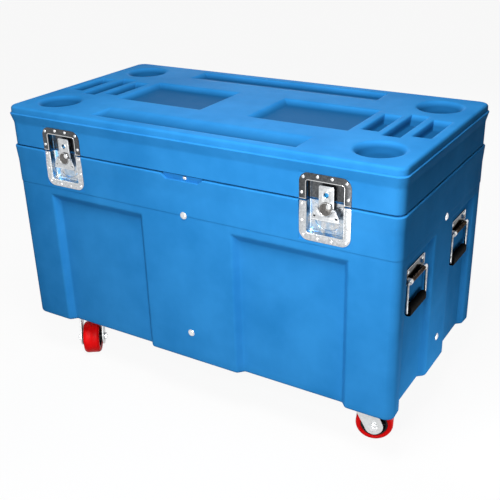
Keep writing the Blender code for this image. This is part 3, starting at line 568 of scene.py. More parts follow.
# One ring for each level: the point is base - inset * pull + radius * normal at the level's height. The
# ends of the straight stretches are held back to where the corner starts at that inset.
def outlineRings(stations, heights, insets):
    radius, normal = shell["cornerRadius"], stations["normal"][None]
    insets = np.broadcast_to(insets, (len(heights), len(stations["wall"])))[..., None]
    flat = stations["base"][None] - insets * stations["pull"][None] + radius * normal
    limit = np.array((halfLength, halfDepth)) - insets - radius * (1 - np.abs(normal))
    flat = np.clip(flat, -limit, limit)
    tall = np.broadcast_to(np.asarray(heights, float)[:, None, None], insets.shape)
    return np.concatenate([flat, tall], axis=-1)


# A wall's levels and insets, with a quarter round added at its foot and at its top
def roundedWall(heights, insets, bottom, bottomRound, bottomInset, top, topRound, topInset):
    lower = bottomInset + bottomRound * easeOut[:-1]
    upper = topInset + topRound * easeIn[1:]
    heights = np.concatenate([bottom + bottomRound * easeIn[:-1], heights, top - topRound * easeOut[1:]])
    return heights, np.concatenate([lower, insets, upper])


# Depth of the pressed panels: the least of the ramps from each rim, with the corners rounded
def panelDepth(along, height, low, high):
    draft, rounding = panel["draft"], panel["rimRound"]
    along = np.abs(along)
    side = softMin(ramp(along - low, draft, rounding), ramp(high - along, draft, rounding), 0.05)
    over = ramp(bodyHigh.z - panel["top"] - height, panel["topSlope"], rounding)
    return np.maximum(softMin(side, over, 0.12), 0) * panel["depth"]


# Latch and hinge seats: the inset each wall keeps at least, at each place
def fittedInset(inset, wall, along, height):
    latchAway = np.abs(np.abs(along) - latch["along"])
    latchUp = height - latch["height"]
    hingeUp = np.abs(height - hingePlace["height"])
    onFront, onHinge = wall == 0, (wall == 2) & (latchAway < hingePlace["half"])
    inPlate = ((latchUp > latch["plateLow"] - latch["plateGap"])
               & (latchUp < latch["plateHigh"] + latch["plateGap"]))
    inPocket = (latchUp > latch["pocketLow"]) & (latchUp < latch["pocketHigh"])
    for area, depth in ((onFront & (latchAway < latch["seatHalf"]) & inPlate, 0),
                        (onHinge & (hingeUp < hingePlace["leaf"]), 0),
                        (onFront & (latchAway < latch["pocketHalf"]) & inPocket, latch["pocketDepth"]),
                        (onHinge & (hingeUp < hingePlace["grooveHalf"]), hingePlace["grooveDepth"])):
        inset = np.where(area, np.maximum(inset, latch["seat"] + depth), inset)
    return inset


# Crisp lines at the two sides of each latch or hinge, at these half widths from its middle
def fittingEdges(*halves):
    return crispSpans(latch["along"] + side * half for side in (-1, 1) for half in halves)


# Grid lines over the two draft slopes of a panel
def panelSpans(low, high):
    step, margin = 1.5 * mm, 6 * mm
    return [slopeSpan(low, low + panel["draft"], step, margin, margin),
            slopeSpan(high - panel["draft"], high, step, margin, margin)]


# Body: one skin of rings, from the underside up the outer walls, over the rim and down the inner
# walls to the floor inside
def makeBody():
    top, bottom = bodyHigh.z, bodyLow.z
    band, panelTop, notchLow = top - shell["bandDrop"], top - panel["top"], top - notch["height"]
    flareLow = top - shell["flareHeight"]
    wallInset, rounding, fillet = shell["wall"], shell["rimRound"], shell["fillet"]
    longSpans = panelSpans(*panel["long"])
    frontSpans = longSpans + fittingEdges(latch["seatHalf"], latch["pocketHalf"])
    frontSpans += [(notch["lowHalf"] - 2 * mm, notch["lowHalf"] + 2.5 * mm, 0.5 * mm)]
    backSpans = longSpans + fittingEdges(hingePlace["half"])
    reach = halfLength - wallInset - shell["cornerRadius"]
    sideReach = halfDepth - wallInset - shell["cornerRadius"]
    stations = outlineStations(gridLines(-reach, reach, shell["coarse"], bothSides(frontSpans)),
                               gridLines(-reach, reach, shell["coarse"], bothSides(backSpans)),
                               gridLines(-sideReach, sideReach, shell["coarse"],
                                         bothSides(panelSpans(*panel["short"]))),
                               np.radians(np.linspace(0, 90, shell["cornerSteps"] + 2))[1:-1])

    heights = gridLines(bottom + shell["bottomRound"], top - rounding, 16 * mm, [
        slopeSpan(panelTop - panel["topSlope"], panelTop, 1.5 * mm, 6 * mm, 6 * mm),
        slopeSpan(band, band, 0.75 * mm, 2 * mm, 4 * mm),
        *crispSpans([latch["height"] + latch["plateLow"] - latch["plateGap"],
                     latch["height"] + latch["pocketLow"],
                     hingePlace["height"] - hingePlace["leaf"],
                     hingePlace["height"] - hingePlace["grooveHalf"],
                     notchLow]),
        (notchLow + 1 * mm, top - rounding, 1.5 * mm),
        (flareLow - 6 * mm, notchLow, 5 * mm),
    ])
    # Face, a small step out at the rim band, then the flare under the seam
    bandStep = ramp(heights - band, 2 * mm, 0.4 * mm)
    inset = shell["faceInset"] - (shell["faceInset"] - shell["bandInset"]) * bandStep
    flare = ramp(heights - flareLow, shell["flareHeight"] - 3 * mm, 2.0 * mm)
    inset = inset - (shell["bandInset"] - shell["flareInset"]) * flare
    heights, insets = roundedWall(heights, inset, bottom, shell["bottomRound"], shell["faceInset"],
                                  top, rounding, inset[-1])

    wall, along, tall = stations["wall"][None], stations["along"][None], heights[:, None]
    grid = insets[:, None] + 0 * along
    for walls, size in (((0, 2), "long"), ((1, 3), "short")):
        grid = grid + np.where(np.isin(wall, walls), panelDepth(along, tall, *panel[size]), 0)
    grid = fittedInset(grid, wall, along, tall)
    inNotch = (wall == 0) & (np.abs(along) < notch["lowHalf"]) & (tall > notchLow)
    grid = np.where(inNotch, np.maximum(grid, notch["depth"]), grid)
    outer = outlineRings(stations, heights, grid)
    # The notch's ends lean outwards: its edge lines slide along the wall as they rise
    lean = (notch["highHalf"] - notch["lowHalf"]) / notch["height"]
    away = np.abs(np.abs(along) - notch["lowHalf"])
    near = np.where(away < notch["edge"], 1, np.clip(1 - away / notch["ease"], 0, 1))
    slide = np.sign(along) * lean * np.clip(tall - notchLow, 0, notch["height"]) * near
    outer[..., 0] += np.where(wall == 0, slide, 0)

    rimDrop = rounding * np.array((0, 0.3, 1))
    rimInset = wallInset - rounding * np.array((1, 0.3, 0))
    rim = outlineRings(stations, top - rimDrop, rimInset[:, None])
    floorTop = bottom + shell["floor"]
    down = [top - rounding - 4 * mm, (top + floorTop) / 2, floorTop + fillet]
    wallDown = outlineRings(stations, down, wallInset)
    foot = outlineRings(stations, floorTop + fillet * easeOut, (wallInset + fillet * easeIn)[:, None])
    # One more ring on each flat, so that the fans that close them shade flat
    hem = shell["hem"]
    underInsets = np.concatenate([0 * grid[:1] + insets[0] + panel["depth"] + 2 * hem, grid[:1] + hem])
    under = outlineRings(stations, [bottom, bottom], underInsets)
    innerFloor = outlineRings(stations, [floorTop], wallInset + fillet + hem)
    rings = np.concatenate([under, outer, rim, wallDown, foot, innerFloor])
    return makePiece("bodyMoulding", sweptPatches(rings), blue, "case_body", "body_shell", sharp=50)


body = makeBody()
print("body moulded:", len(body.data.polygons), "faces")

lid = {
    **metres(edgeRound=7, skirtInset=6, skirtRound=2.5, topInset=4, creaseInset=3.3, creaseDrop=21,
             flareHeight=27, roof=34),
    "cup": metres(x=492, y=201.5, radius=62, slope=18, depth=24, round=1.9),
    "slot": metres(places=(411, 476, 543), halves=(77, 101, 77), halfWidth=22.5, depth=22, sideSlope=5,
                   round=0.9),
    "slotEnd": 0.30,  # the share of a slot's half length that its end slope takes
    "recess": metres(inner=75.5, outer=364.5, edge=101.5, depth=15, slope=18, round=1.6),
    "groove": metres(end=313, near=272, far=188, depth=14, nearSlope=4, farSlope=64, endSlope=14, round=1.2),
    "steps": metres(cup=4, slope=2.6, slotRim=1.4, slotEnd=3, grooveRim=1.3),
}


# Depth of everything pressed into the lid's top, at each place: each pit is its depth times the least
# of the ramps in from its rims
def lidPits(x, y):
    ax, ay = np.abs(x), np.abs(y)
    cup, slot, recess, groove = lid["cup"], lid["slot"], lid["recess"], lid["groove"]
    away = np.hypot(ax - cup["x"], ay - cup["y"])
    depth = cup["depth"] * ramp(cup["radius"] - away, cup["slope"], cup["round"])
    for middle, half in zip(slot["places"], slot["halves"]):
        across = ramp(slot["halfWidth"] - np.abs(ax - middle), slot["sideSlope"], slot["round"])
        ends = ramp(half - ay, lid["slotEnd"] * half, slot["round"])
        depth = np.maximum(depth, slot["depth"] * softMin(across, ends, 0.06))
    inner, outer, ends = (ramp(distance, recess["slope"], recess["round"])
                          for distance in (ax - recess["inner"], recess["outer"] - ax, recess["edge"] - ay))
    depth = np.maximum(depth, recess["depth"] * softMin(softMin(inner, outer, 0.06), ends, 0.1))
    near = ramp(groove["near"] - ay, groove["nearSlope"], groove["round"])
    far = ramp(ay - groove["far"], groove["farSlope"], groove["round"])
    ends = ramp(groove["end"] - ax, groove["endSlope"], groove["round"])
    return np.maximum(depth, groove["depth"] * softMin(softMin(near, far, 0.04), ends, 0.06))


# Lines of the lid's top along x and along y, finer over the slopes of its pits
def lidLines(reachX, reachY):
    cup, slot, recess, groove, steps = (lid[key] for key in ("cup", "slot", "recess", "groove", "steps"))
    slotRim = slot["halfWidth"] - slot["sideSlope"] / 2
    slotEnd = slot["halves"][0]
    xSpans = [slopeSpan(cup["x"] - cup["radius"], cup["x"] + cup["radius"], steps["cup"])]
    for rim in [middle + side * slotRim for middle in slot["places"] for side in (-1, 1)]:
        xSpans.append(slopeSpan(rim, rim, steps["slotRim"], 4.5 * mm, 4.5 * mm))
    xSpans += [slopeSpan(recess["inner"], recess["inner"] + recess["slope"], steps["slope"]),
               slopeSpan(recess["outer"] - recess["slope"], recess["outer"], steps["slope"]),
               slopeSpan(groove["end"] - groove["endSlope"], groove["end"], steps["slope"]),
               *fittingEdges(latch["seatHalf"], latch["pocketHalf"], hingePlace["half"])]
    ySpans = [slopeSpan(cup["y"] - cup["radius"], cup["y"] + cup["radius"], steps["cup"], after=3 * mm),
              slopeSpan(recess["edge"] - recess["slope"], recess["edge"], steps["slope"]),
              slopeSpan(slotEnd * (1 - lid["slotEnd"]), slotEnd, steps["slotEnd"], 3 * mm, 3 * mm),
              slopeSpan(groove["near"] - groove["nearSlope"], groove["near"], steps["grooveRim"],
                        after=3 * mm)]
    return (gridLines(-reachX, reachX, shell["coarse"], bothSides(xSpans)),
            gridLines(-reachY, reachY, shell["coarse"], bothSides(ySpans)))


# The lid's top as a grid, bent onto a quarter disc in each corner: s' = s sqrt(1 - t t / 2), and t likewise
def lidTop(xLines, yLines, squeeze):
    radius, reachX, reachY = shell["cornerRadius"], xLines[-1], yLines[-1]
    corner = squeeze * radius
    gridX, gridY = np.meshgrid(*[np.concatenate([-lines[-1] - corner[::-1], lines, lines[-1] + corner])
                                 for lines in (xLines, yLines)])
    s = np.clip((np.abs(gridX) - reachX) / radius, 0, 1)
    t = np.clip((np.abs(gridY) - reachY) / radius, 0, 1)
    bentX = np.where(s > 0, np.sign(gridX) * (reachX + radius * s * np.sqrt(1 - t * t / 2)), gridX)
    bentY = np.where(t > 0, np.sign(gridY) * (reachY + radius * t * np.sqrt(1 - s * s / 2)), gridY)
    return np.stack([bentX, bentY, lidHigh.z - lidPits(bentX, bentY)], axis=-1)


# Lid: a grid for its top, and one skin of rings from the ceiling down the inside and up the outside
def makeLid():
    top, bottom = lidHigh.z, lidLow.z
    crease, edgeRound, skirtRound = top - lid["creaseDrop"], lid["edgeRound"], lid["skirtRound"]
    flareLow = crease - lid["flareHeight"]
    edgeInset = lid["topInset"] + edgeRound
    xLines, yLines = lidLines(halfLength - edgeInset - shell["cornerRadius"],
                              halfDepth - edgeInset - shell["cornerRadius"])
    # Corner lines are spaced so that the rounded corner comes out in even angles
    corner = np.radians(np.linspace(0, 45, shell["cornerSteps"] // 2 + 1))[1:]
    topSheet = lidTop(xLines, yLines, np.sin(corner) * math.sqrt(2))
    stations = outlineStations(xLines, xLines, yLines, np.concatenate([corner, np.pi / 2 - corner[-2::-1]]))
    heights = gridLines(bottom + skirtRound, top - edgeRound, 10 * mm, [
        slopeSpan(crease, crease, 0.5 * mm, 3 * mm, 3 * mm),
        slopeSpan(flareLow, flareLow, 2 * mm, 3 * mm, 6 * mm),
        *crispSpans([latch["height"] + latch["pocketHigh"], hingePlace["height"] + hingePlace["grooveHalf"]]),
    ])
    # Skirt, flare out to the crease, a quick step in above it, then straight up to the top edge
    inset = lid["skirtInset"] * (1 - ramp(heights - flareLow, lid["flareHeight"], 1.5 * mm))
    inset = inset + lid["creaseInset"] * ramp(heights - crease, 1.2 * mm, 0.3 * mm)
    inset = inset + (lid["topInset"] - lid["creaseInset"]) * ramp(heights - crease, top - crease, 1 * mm)
    heights, insets = roundedWall(heights, inset, bottom, skirtRound, lid["skirtInset"],
                                  top, edgeRound, lid["topInset"])
    wall, along = stations["wall"][None], stations["along"][None]
    grid = fittedInset(insets[:, None] + 0 * along, wall, along, heights[:, None])
    outer = outlineRings(stations, heights, grid)
    ceiling, wallInset, fillet = top - lid["roof"], shell["wall"], shell["fillet"]
    insideHeights = [ceiling - fillet, (ceiling + bottom) / 2, bottom + 1 * mm, bottom]
    insideInsets = np.array([wallInset, wallInset, wallInset, wallInset - 1 * mm])
    inside = outlineRings(stations, insideHeights, insideInsets[:, None])
    roof = outlineRings(stations, ceiling - fillet * easeOut[::-1], wallInset + fillet * easeIn[::-1, None])
    # One more ring on the flat ceiling, so that the fan that closes it shades flat
    ceilingRing = outlineRings(stations, [ceiling], wallInset + fillet + shell["hem"])
    rings = np.concatenate([ceilingRing, roof, inside, outer])
    patches = [gridPatch(topSheet), gridPatch(rings, closeColumns=True), fanPatch(rings[0], flip=True)]
    return makePiece("lidMoulding", patches, blue, "lid", "lid_shell", sharp=50, merge=0.02 * mm)


lidPiece = makeLid()
print("lid moulded:", len(lidPiece.data.polygons), "faces")


# Butterfly latches

tray = metres(half=67, cornerRadius=24, top=1.8, low=0.3, wallInset=19.5, sheet=1.5, bend=2.0, floor=-16,
              fillet=3.0, dish=(-84, 14.7), keeper=(85, 19.5), bead=0.9, sink=0.2)
rivet = metres(radius=4.2, edge=0.5, rise=2.2)
dishRivets = [(59.5, 7), (59.5, -35.5), (55.5, -72.5), (18.5, -77)]
keeperRivets = [(59.5, 35), (55.5, 73.5), (18.5, 78)]
hook = metres(half=19.5, low=-18, high=56, back=-8.2, face=-6.2, holeUp=34, hole=6.2, slotHalf=4.4,
              slotLow=-6, beadIn=2.6, beadLow=21, beadDrop=7, beadCorner=4, bead=0.9)
cam = metres(radius=17, back=-5.7, face=-1.7, rim=2.2, dish=0.5, hub=6.4, spindle=4, stub=1.3, stubReach=24,
             axis=-2.2, pin=6.8, pinOff=8.4, pinTop=1.8, rimLine=1.1, rimBead=0.6)
wing = metres(shoulder=26, span=36, shoulderDrop=-19, drop=-28, notch=18, roll=2.3, hole=2.8, holeAlong=28,
              knuckle=3, sheet=2, corner=5)
scoop = metres(along=31, up=22, middle=-35, bead=1.5)
catchPin = metres(radius=6, edge=6.9, rise=7.7)


# The trays are nested U lines: each runs from the seam up one side, round the far end and back
def trayLine(inset, far, seam):
    side = math.copysign(1, far - seam)
    half, radius = tray["half"] - inset, tray["cornerRadius"] - inset
    centreX, centreY = half - radius, abs(far) - tray["cornerRadius"]
    rise = np.linspace(seam * side, centreY, 9)[:-1]
    left = np.stack([np.full(len(rise), -half), rise], axis=-1)
    line = np.vstack([left, arcPoints((-centreX, centreY), radius, 180, 90, 11),
                      arcPoints((centreX, centreY), radius, 90, 0, 11), left[::-1] * (-1, 1)])
    return line * (1, side)


# Section of the pressed sheet as points (inset, height) on its face and on its back, from the floor up
def traySection():
    wall, floor, sheet = tray["wallInset"], tray["floor"], tray["sheet"]
    bend, fillet = tray["bend"], tray["fillet"]
    foot = np.array((wall + fillet, floor + fillet))
    low = arcPoints(foot, 1.0, 270, 180, 7) - foot
    bendAt = np.array((wall - bend, tray["top"] - bend))
    high = arcPoints((0, 0), 1.0, 0, 90, 7)
    edge = np.array([(0.5, 0), (0.15, -0.15), (0, -0.5)]) * mm
    face = np.vstack([foot + low * fillet, bendAt + high * bend, (0, tray["top"]) + edge])
    back = np.vstack([foot + low * (fillet + sheet), bendAt + high * (bend - sheet),
                      (0, tray["low"]) + edge * (1, -1)])
    return face, back


# Tray: a skin of U lines for its face and one for its back, joined along all of their edges
def trayPatches(far, seam):
    top, under = (np.stack([atHeight(trayLine(inset, far, seam), height) for inset, height in section])
                  for section in traySection())
    patches = [gridPatch(top), gridPatch(under), gridPatch(np.stack([top[-1], under[-1]])),
               fanPatch(top[0]), fanPatch(under[0])]
    for column in (0, -1):
        patches.append(gridPatch(np.stack([top[:, column], under[:, column]])))
    patches.append(gridPatch(np.stack([top[0, [0, -1]], under[0, [0, -1]]])))
    return patches


# Bead round the mouth of the tub, open at the seam; its bright steel is a painted highlight along the rim
def beadPatches(far, seam):
    line = trayLine(tray["wallInset"] - tray["bend"] - 0.2 * mm, far, seam)
    return tubePatches(atHeight(line, tray["top"]), tray["bead"], 10)


# Cut edges of the keeper's flange, on both sides of its mouth, in bright steel as a painted highlight on the
# dark flange
def edgePatches(seam):
    inner, outer = tray["half"] - tray["wallInset"] + tray["bend"], tray["half"] - 1 * mm
    return barPair(inner, outer, seam + tray["bead"], tray["top"] - 0.4 * mm, tray["bead"], 5, 8)


# Rivet heads at each (x, y) in millimetres and its mirror image
def rivetPatches(spots):
    head = dome(rivet["radius"], tray["top"] - tray["sink"], rivet["edge"], rivet["rise"] + tray["sink"])
    return mirrored(head, *np.array(spots) * mm)


# Hook: a sheet with a hole and a slot, a turned collar round the hole and a pressed bead
def hookPatches():
    outline = roundedBox(hook["half"], hook["low"], hook["high"], (3 * mm, 5 * mm, 5 * mm, 3 * mm))
    slot = np.vstack([arcPoints((0, 0), hook["slotHalf"], 0, 180, 9),
                      arcPoints((0, hook["slotLow"]), hook["slotHalf"], 180, 360, 9)])
    plate = sheetPatches(outline, hook["back"], hook["face"], 0.35 * mm,
                         [circleLoop(0, hook["holeUp"], hook["hole"], 28), slot])
    collar = [(2.1, -0.4), (2.1, 0.5), (1.5, 1.1), (0.4, 1.1), (0, 0.6), (0, -0.4)]
    collar = [(hook["hole"] + wide * mm, hook["face"] + rise * mm) for wide, rise in collar]
    ring = shifted(turnedRing(collar, 32), y=hook["holeUp"])
    # A pressed bead runs up one side of the plate, over its top and down the other
    bead, corner, high = hook["half"] - hook["beadIn"], hook["beadCorner"], hook["high"] - hook["beadDrop"]
    path = np.vstack([[(-bead, hook["beadLow"])], arcPoints((-bead + corner, high), corner, 180, 90, 7),
                      arcPoints((bead - corner, high), corner, 90, 0, 7), [(bead, hook["beadLow"])]])
    return plate + ring + tubePatches(atHeight(path, hook["face"] - 0.2 * mm), hook["bead"], 8)


# Cam: a turned disc with a raised rim and hub, a spindle behind it and a stub rod on each side
def camPatches():
    radius, back, face, rim, dish = (cam[key] for key in ("radius", "back", "face", "rim", "dish"))
    hub = cam["hub"]
    disc = turnedSolid([(radius - 0.5 * mm, back), (radius, back + 0.5 * mm), (radius, face - 0.6 * mm),
                        (radius - 0.2 * mm, face - 0.2 * mm), (radius - 0.7 * mm, face), (radius - rim, face),
                        (radius - rim - 0.6 * mm, face - dish), (hub, face - dish),
                        (hub - 0.6 * mm, face - 0.1 * mm), (0.6 * mm, face - 0.1 * mm)], 56)
    spindle = turnedSolid([(cam["spindle"], tray["floor"] + tray["sink"]),
                           (cam["spindle"], back + 0.5 * mm)], 20)
    return disc + spindle + barPair(radius - 1 * mm, cam["stubReach"], 0, cam["axis"], cam["stub"], 3, 10)


# Bright pin set off the cam's middle, and the bright line round its rim, a painted highlight in bright steel
def camPinPatches():
    rise = cam["pinTop"] - cam["face"] + 0.7 * mm
    pin = shifted(dome(cam["pin"], cam["face"] - 0.7 * mm, 1.2 * mm, rise, 28), cam["pinOff"], cam["pinOff"])
    turn = np.radians(np.linspace(0, 360, 49))[:-1]
    rim = np.column_stack([np.cos(turn), np.sin(turn), 0 * turn]) * (cam["radius"] - cam["rimLine"])
    return pin + tubePatches(rim + (0, 0, cam["face"]), cam["rimBead"], 8, closed=True)


# Wing: a sheet with a round bite out of its top, a rolled far edge, knuckles and two rimmed holes
def wingPatches():
    shoulder, span, drop, axis = wing["shoulder"], wing["span"], wing["drop"], cam["axis"]
    rim = softCorners([(-shoulder, 0), (-span, wing["shoulderDrop"]), (-span, drop),
                       (span, drop), (span, wing["shoulderDrop"]), (shoulder, 0)], wing["corner"])
    outline = np.vstack([rim, arcPoints((0, 0), wing["notch"], 0, -180, 21)])
    low, high = axis - wing["sheet"] / 2, axis + wing["sheet"] / 2
    holes = [circleLoop(side * wing["holeAlong"], wing["shoulderDrop"], wing["hole"]) for side in (-1, 1)]
    patches = sheetPatches(outline, low, high, 0.4 * mm, holes)
    patches += barPatches(-span, span, drop, axis, wing["roll"], 9, 14)
    patches += barPair(wing["notch"], shoulder, 0, axis, wing["knuckle"], 3, 14)
    collar = [(0, 0), (0.9, 0), (0.7, 0.35), (0.2, 0.35)]
    collar = [(wing["hole"] + wide * mm, high - 0.05 * mm + rise * mm) for wide, rise in collar]
    return patches + mirrored(turnedRing(collar, 20), (wing["holeAlong"], wing["shoulderDrop"]))


# Rubber stops set in the wing's holes from behind; their black is partly painted shade, darkening the holes
def stopPatches():
    back = cam["axis"] - wing["sheet"] / 2
    stop = [(0.8, -1.5), (0.8, -0.05), (-0.2, 0), (-0.3, 0.4)]
    stop = turnedSolid([(wing["hole"] + wide * mm, back + rise * mm) for wide, rise in stop], 20)
    return mirrored(stop, (wing["holeAlong"], wing["shoulderDrop"]))


# Finger scoop under the wing: a half-round bead on the dish floor
def scoopPatches():
    turn = np.radians(np.linspace(184, 356, 33))
    path = np.column_stack([scoop["along"] * np.cos(turn), scoop["middle"] + scoop["up"] * np.sin(turn)])
    return tubePatches(atHeight(path, tray["floor"] + tray["sink"]), scoop["bead"], 10)


for sideName, side in (("left", -1), ("right", 1)):
    place = outwardFrame((side * latch["along"], latch["seat"] - halfDepth, latch["height"]), (0, -1, 0))
    node = f"latch_{sideName}"
    catch = dome(catchPin["radius"], tray["floor"] - tray["sink"], catchPin["edge"], catchPin["rise"])
    catch = shifted(catch, y=hook["holeUp"])
    keeperBead = beadPatches(*tray["keeper"]) + edgePatches(tray["keeper"][1])
    makeSet(sideName, node, place, [
        ("Dish", trayPatches(*tray["dish"]) + scoopPatches(), trayZinc, "case_body", "dish"),
        ("Keeper", trayPatches(*tray["keeper"]) + catch, darkPlate, "lid", "keeper"),
        ("DishBead", beadPatches(*tray["dish"]), bright, "case_body", None, "zinc_steel"),
        ("KeeperBead", keeperBead, bright, "lid"),
        ("DishRivets", rivetPatches(dishRivets), zincBright, "case_body"),
        ("KeeperRivets", rivetPatches(keeperRivets), bright, "lid"),
        ("Hook", hookPatches(), zinc, f"{node}_hook", "hook"),
        ("Cam", camPatches(), camSteel, f"{node}_cam", "cam"),
        ("CamPin", camPinPatches(), bright, f"{node}_cam"),
        ("Wing", wingPatches(), zinc, f"{node}_wing", "wing"),
        ("WingStops", stopPatches(), blackPlastic, f"{node}_wing"),
    ])
print("latches made")


# Sprung drop handles

handleAt = jointPlace["handle_right_front_lift"]
handle = {
    "out": handleAt[0],
    "along": abs(handleAt[1]),
    "height": handleAt[2],
    **metres(plateHalf=62, plateLow=-8, plateHigh=32, plateCorner=4, edge=0.8, back=-9.2, face=-6.7,
             lugAlong=48, lugHalf=6, lugTop=6.5, lugFoot=7.5, rivet=4.6, rivetUp=24,
             rod=3.5, loopHalf=62.5, loopDrop=-80, loopCorner=7,
             gripHalf=53, gripHeight=13, gripThick=8.5, gripEnd=3.2,
             gripGroove=0.35, gripPitch=5.6, gripPlain=44,
             coil=5.4, wire=0.8, coilReach=40.5, pitch=2.1),
}


# Plate: a sheet with rounded corners
def handlePlatePatches():
    face, corner = handle["face"], handle["plateCorner"]
    return sheetPatches(roundedBox(handle["plateHalf"], handle["plateLow"], handle["plateHigh"], corner),
                        handle["back"], face, 0.5 * mm)


# Each lug is a strap bent over the rod: straight legs under a half round, with a rivet above it. A rolled
# edge runs round the plate. This piece is in bright zinc, a painted highlight on the lugs and the rolled edge
# against the plate's painted dark.
def handleLugPatches():
    face, lug, edge, foot = handle["face"], handle["lugAlong"], handle["edge"], handle["lugFoot"]
    strap = np.vstack([[(-foot, face - 1 * mm)], arcPoints((0, 0), handle["lugTop"], 180, 0, 15),
                       [(foot, face - 1 * mm)]])
    patches = []
    for side in (-1, 1):
        low = side * lug - handle["lugHalf"]
        patches += moved(sheetPatches(strap[::-1], low, low + 2 * handle["lugHalf"], 0.5 * mm), alongX)
    patches += mirrored(dome(handle["rivet"], face - 0.2 * mm, 0.6 * mm, 2.6 * mm), (lug, handle["rivetUp"]))
    rim = roundedBox(handle["plateHalf"] - edge, handle["plateLow"] + edge, handle["plateHigh"] - edge,
                     handle["plateCorner"] - edge)
    return patches + tubePatches(atHeight(rim, face), edge, 8, closed=True)


# Bail: a rod carried round a rounded rectangle, with points added along its straight stretches
def bailPatches():
    loop = roundedBox(handle["loopHalf"], handle["loopDrop"], 0, handle["loopCorner"], 9)
    spread = []
    for start, end in zip(loop, np.roll(loop, -1, axis=0)):
        count = max(int(np.linalg.norm(end - start) / (8 * mm)), 1)
        spread.append(start + (end - start) * np.arange(count)[:, None] / count)
    return tubePatches(atHeight(np.vstack(spread), 0), handle["rod"], 16, closed=True)


# Grip: a superellipse section, |y/a|^3.2 + |z/b|^3.2 = 1, swept along x; its ends are rounded and shallow
# grooves run round it
def gripPatches():
    power = 2 / 3.2
    x = np.linspace(-handle["gripHalf"], handle["gripHalf"], 151)
    end = np.clip((handle["gripHalf"] - np.abs(x)) / handle["gripEnd"], 0, 1)
    size = 0.80 + 0.20 * np.sqrt(1 - (1 - end) ** 2)
    waves = np.clip(np.cos(2 * np.pi * x / handle["gripPitch"]) * 2 - 1, 0, 1)
    groove = handle["gripGroove"] * waves * (np.abs(x) < handle["gripPlain"])
    turn = np.linspace(0, 2 * np.pi, 36, endpoint=False)
    y, z = (np.sign(wave) * np.abs(wave) ** power for wave in (np.cos(turn), np.sin(turn)))
    tall = (handle["gripHeight"] * size - groove)[:, None] * y
    thick = (handle["gripThick"] * size - groove)[:, None] * z
    return sweptPatches(np.stack([x[:, None] + 0 * tall, tall + handle["loopDrop"], thick], axis=-1))


# Torsion spring: a helix round the rod, x = pitch * turn, on a circle of the coil's radius
def springPatches():
    reach, pitch, coil = handle["coilReach"], handle["pitch"], handle["coil"]
    turns = 2 * reach / pitch
    t = np.linspace(0, turns * 2 * np.pi, int(turns * 14))
    path = np.column_stack([-reach + pitch * t / (2 * np.pi), coil * np.cos(t), coil * np.sin(t)])
    return tubePatches(path, handle["wire"], 6)


for endName, endSide in (("right", 1), ("left", -1)):
    for rowName, rowSide in (("front", -1), ("back", 1)):
        origin = (endSide * handle["out"], rowSide * handle["along"], handle["height"])
        node = f"handle_{endName}_{rowName}"
        makeSet(endName + rowName.title(), node, outwardFrame(origin, (endSide, 0, 0)), [
            ("HandlePlate", handlePlatePatches(), darkChrome, "case_body", "plate"),
            ("HandleLugs", handleLugPatches(), zincBright, "case_body", None, "handle_steel"),
            ("Spring", springPatches(), springSteel, "case_body"),
            ("Bail", bailPatches(), handleSteel, f"{node}_bail", "bail"),
            ("Grip", gripPatches(), blackRubber, f"{node}_bail", "grip"),
        ])
print("handles made")


# Casters, in frames on the swivel axis at the axle's height, with x along the trail

swivelAt = jointPlace["caster_fr_swivel_turn"]
caster = {
    "along": abs(swivelAt[0]),
    "across": abs(swivelAt[1]),
    "axleHeight": jointPlace["caster_fr_wheel_spin"][2],
    "ribs": 6,
    **metres(trail=35.5, plateHalfX=52.5, plateHalfY=42.5, plateCorner=8, plateSheet=4, plateTop=92.4,
             boltX=41, boltY=31, boltHead=6.5, boltRise=4, raceLow=77.7, raceFoot=25.5, raceTop=30,
             forkTop=77.4, forkSheet=4.5, forkHalf=36, forkBend=8, forkCrown=34, forkEdge=0.9,
             armEnd=24, armTop=28, frontTurn=(10, 21.8), backTurn=(-10.3, 13.8),
             head=11.5, headFrom=36.3, washer=1.6, nut=10.4, nutHeight=5.6, rod=6, rodEnd=46.6,
             hub=35.8, hubHalf=23, hubWeb=11, hubRim=30.5, boss=13, bossHalf=30, bore=6.4,
             ribHalf=1.6, ribReach=19, ribCorner=1.2, tyre=50, tyreIn=36.1, tyreHalf=25, shoulder=8),
}


# Top plate: a rounded sheet, the turned race under it and four bolt heads
def casterPlatePatches():
    top, low = caster["plateTop"], caster["plateTop"] - caster["plateSheet"]
    patches = sheetPatches(roundedBox(caster["plateHalfX"], -caster["plateHalfY"], caster["plateHalfY"],
                                      caster["plateCorner"]), low, top, 0.8 * mm)
    race, foot, bottom = caster["raceTop"], caster["raceFoot"], caster["raceLow"]
    patches += turnedSolid([(foot - 6 * mm, bottom + 0.2 * mm), (foot - 1 * mm, bottom + 0.2 * mm),
                            (foot, bottom + 1.2 * mm), (foot + 0.6 * mm, bottom + 4 * mm),
                            (foot + 3.2 * mm, bottom + 6.6 * mm), (race - 0.3 * mm, bottom + 8 * mm),
                            (race, low + 0.2 * mm)], 48)
    boltHead = sheetPatches(hexagon * caster["boltHead"], low - caster["boltRise"], low + 0.5 * mm, 0.5 * mm)
    return patches + mirrored(boltHead, *((caster["boltX"], side * caster["boltY"]) for side in (-1, 1)))


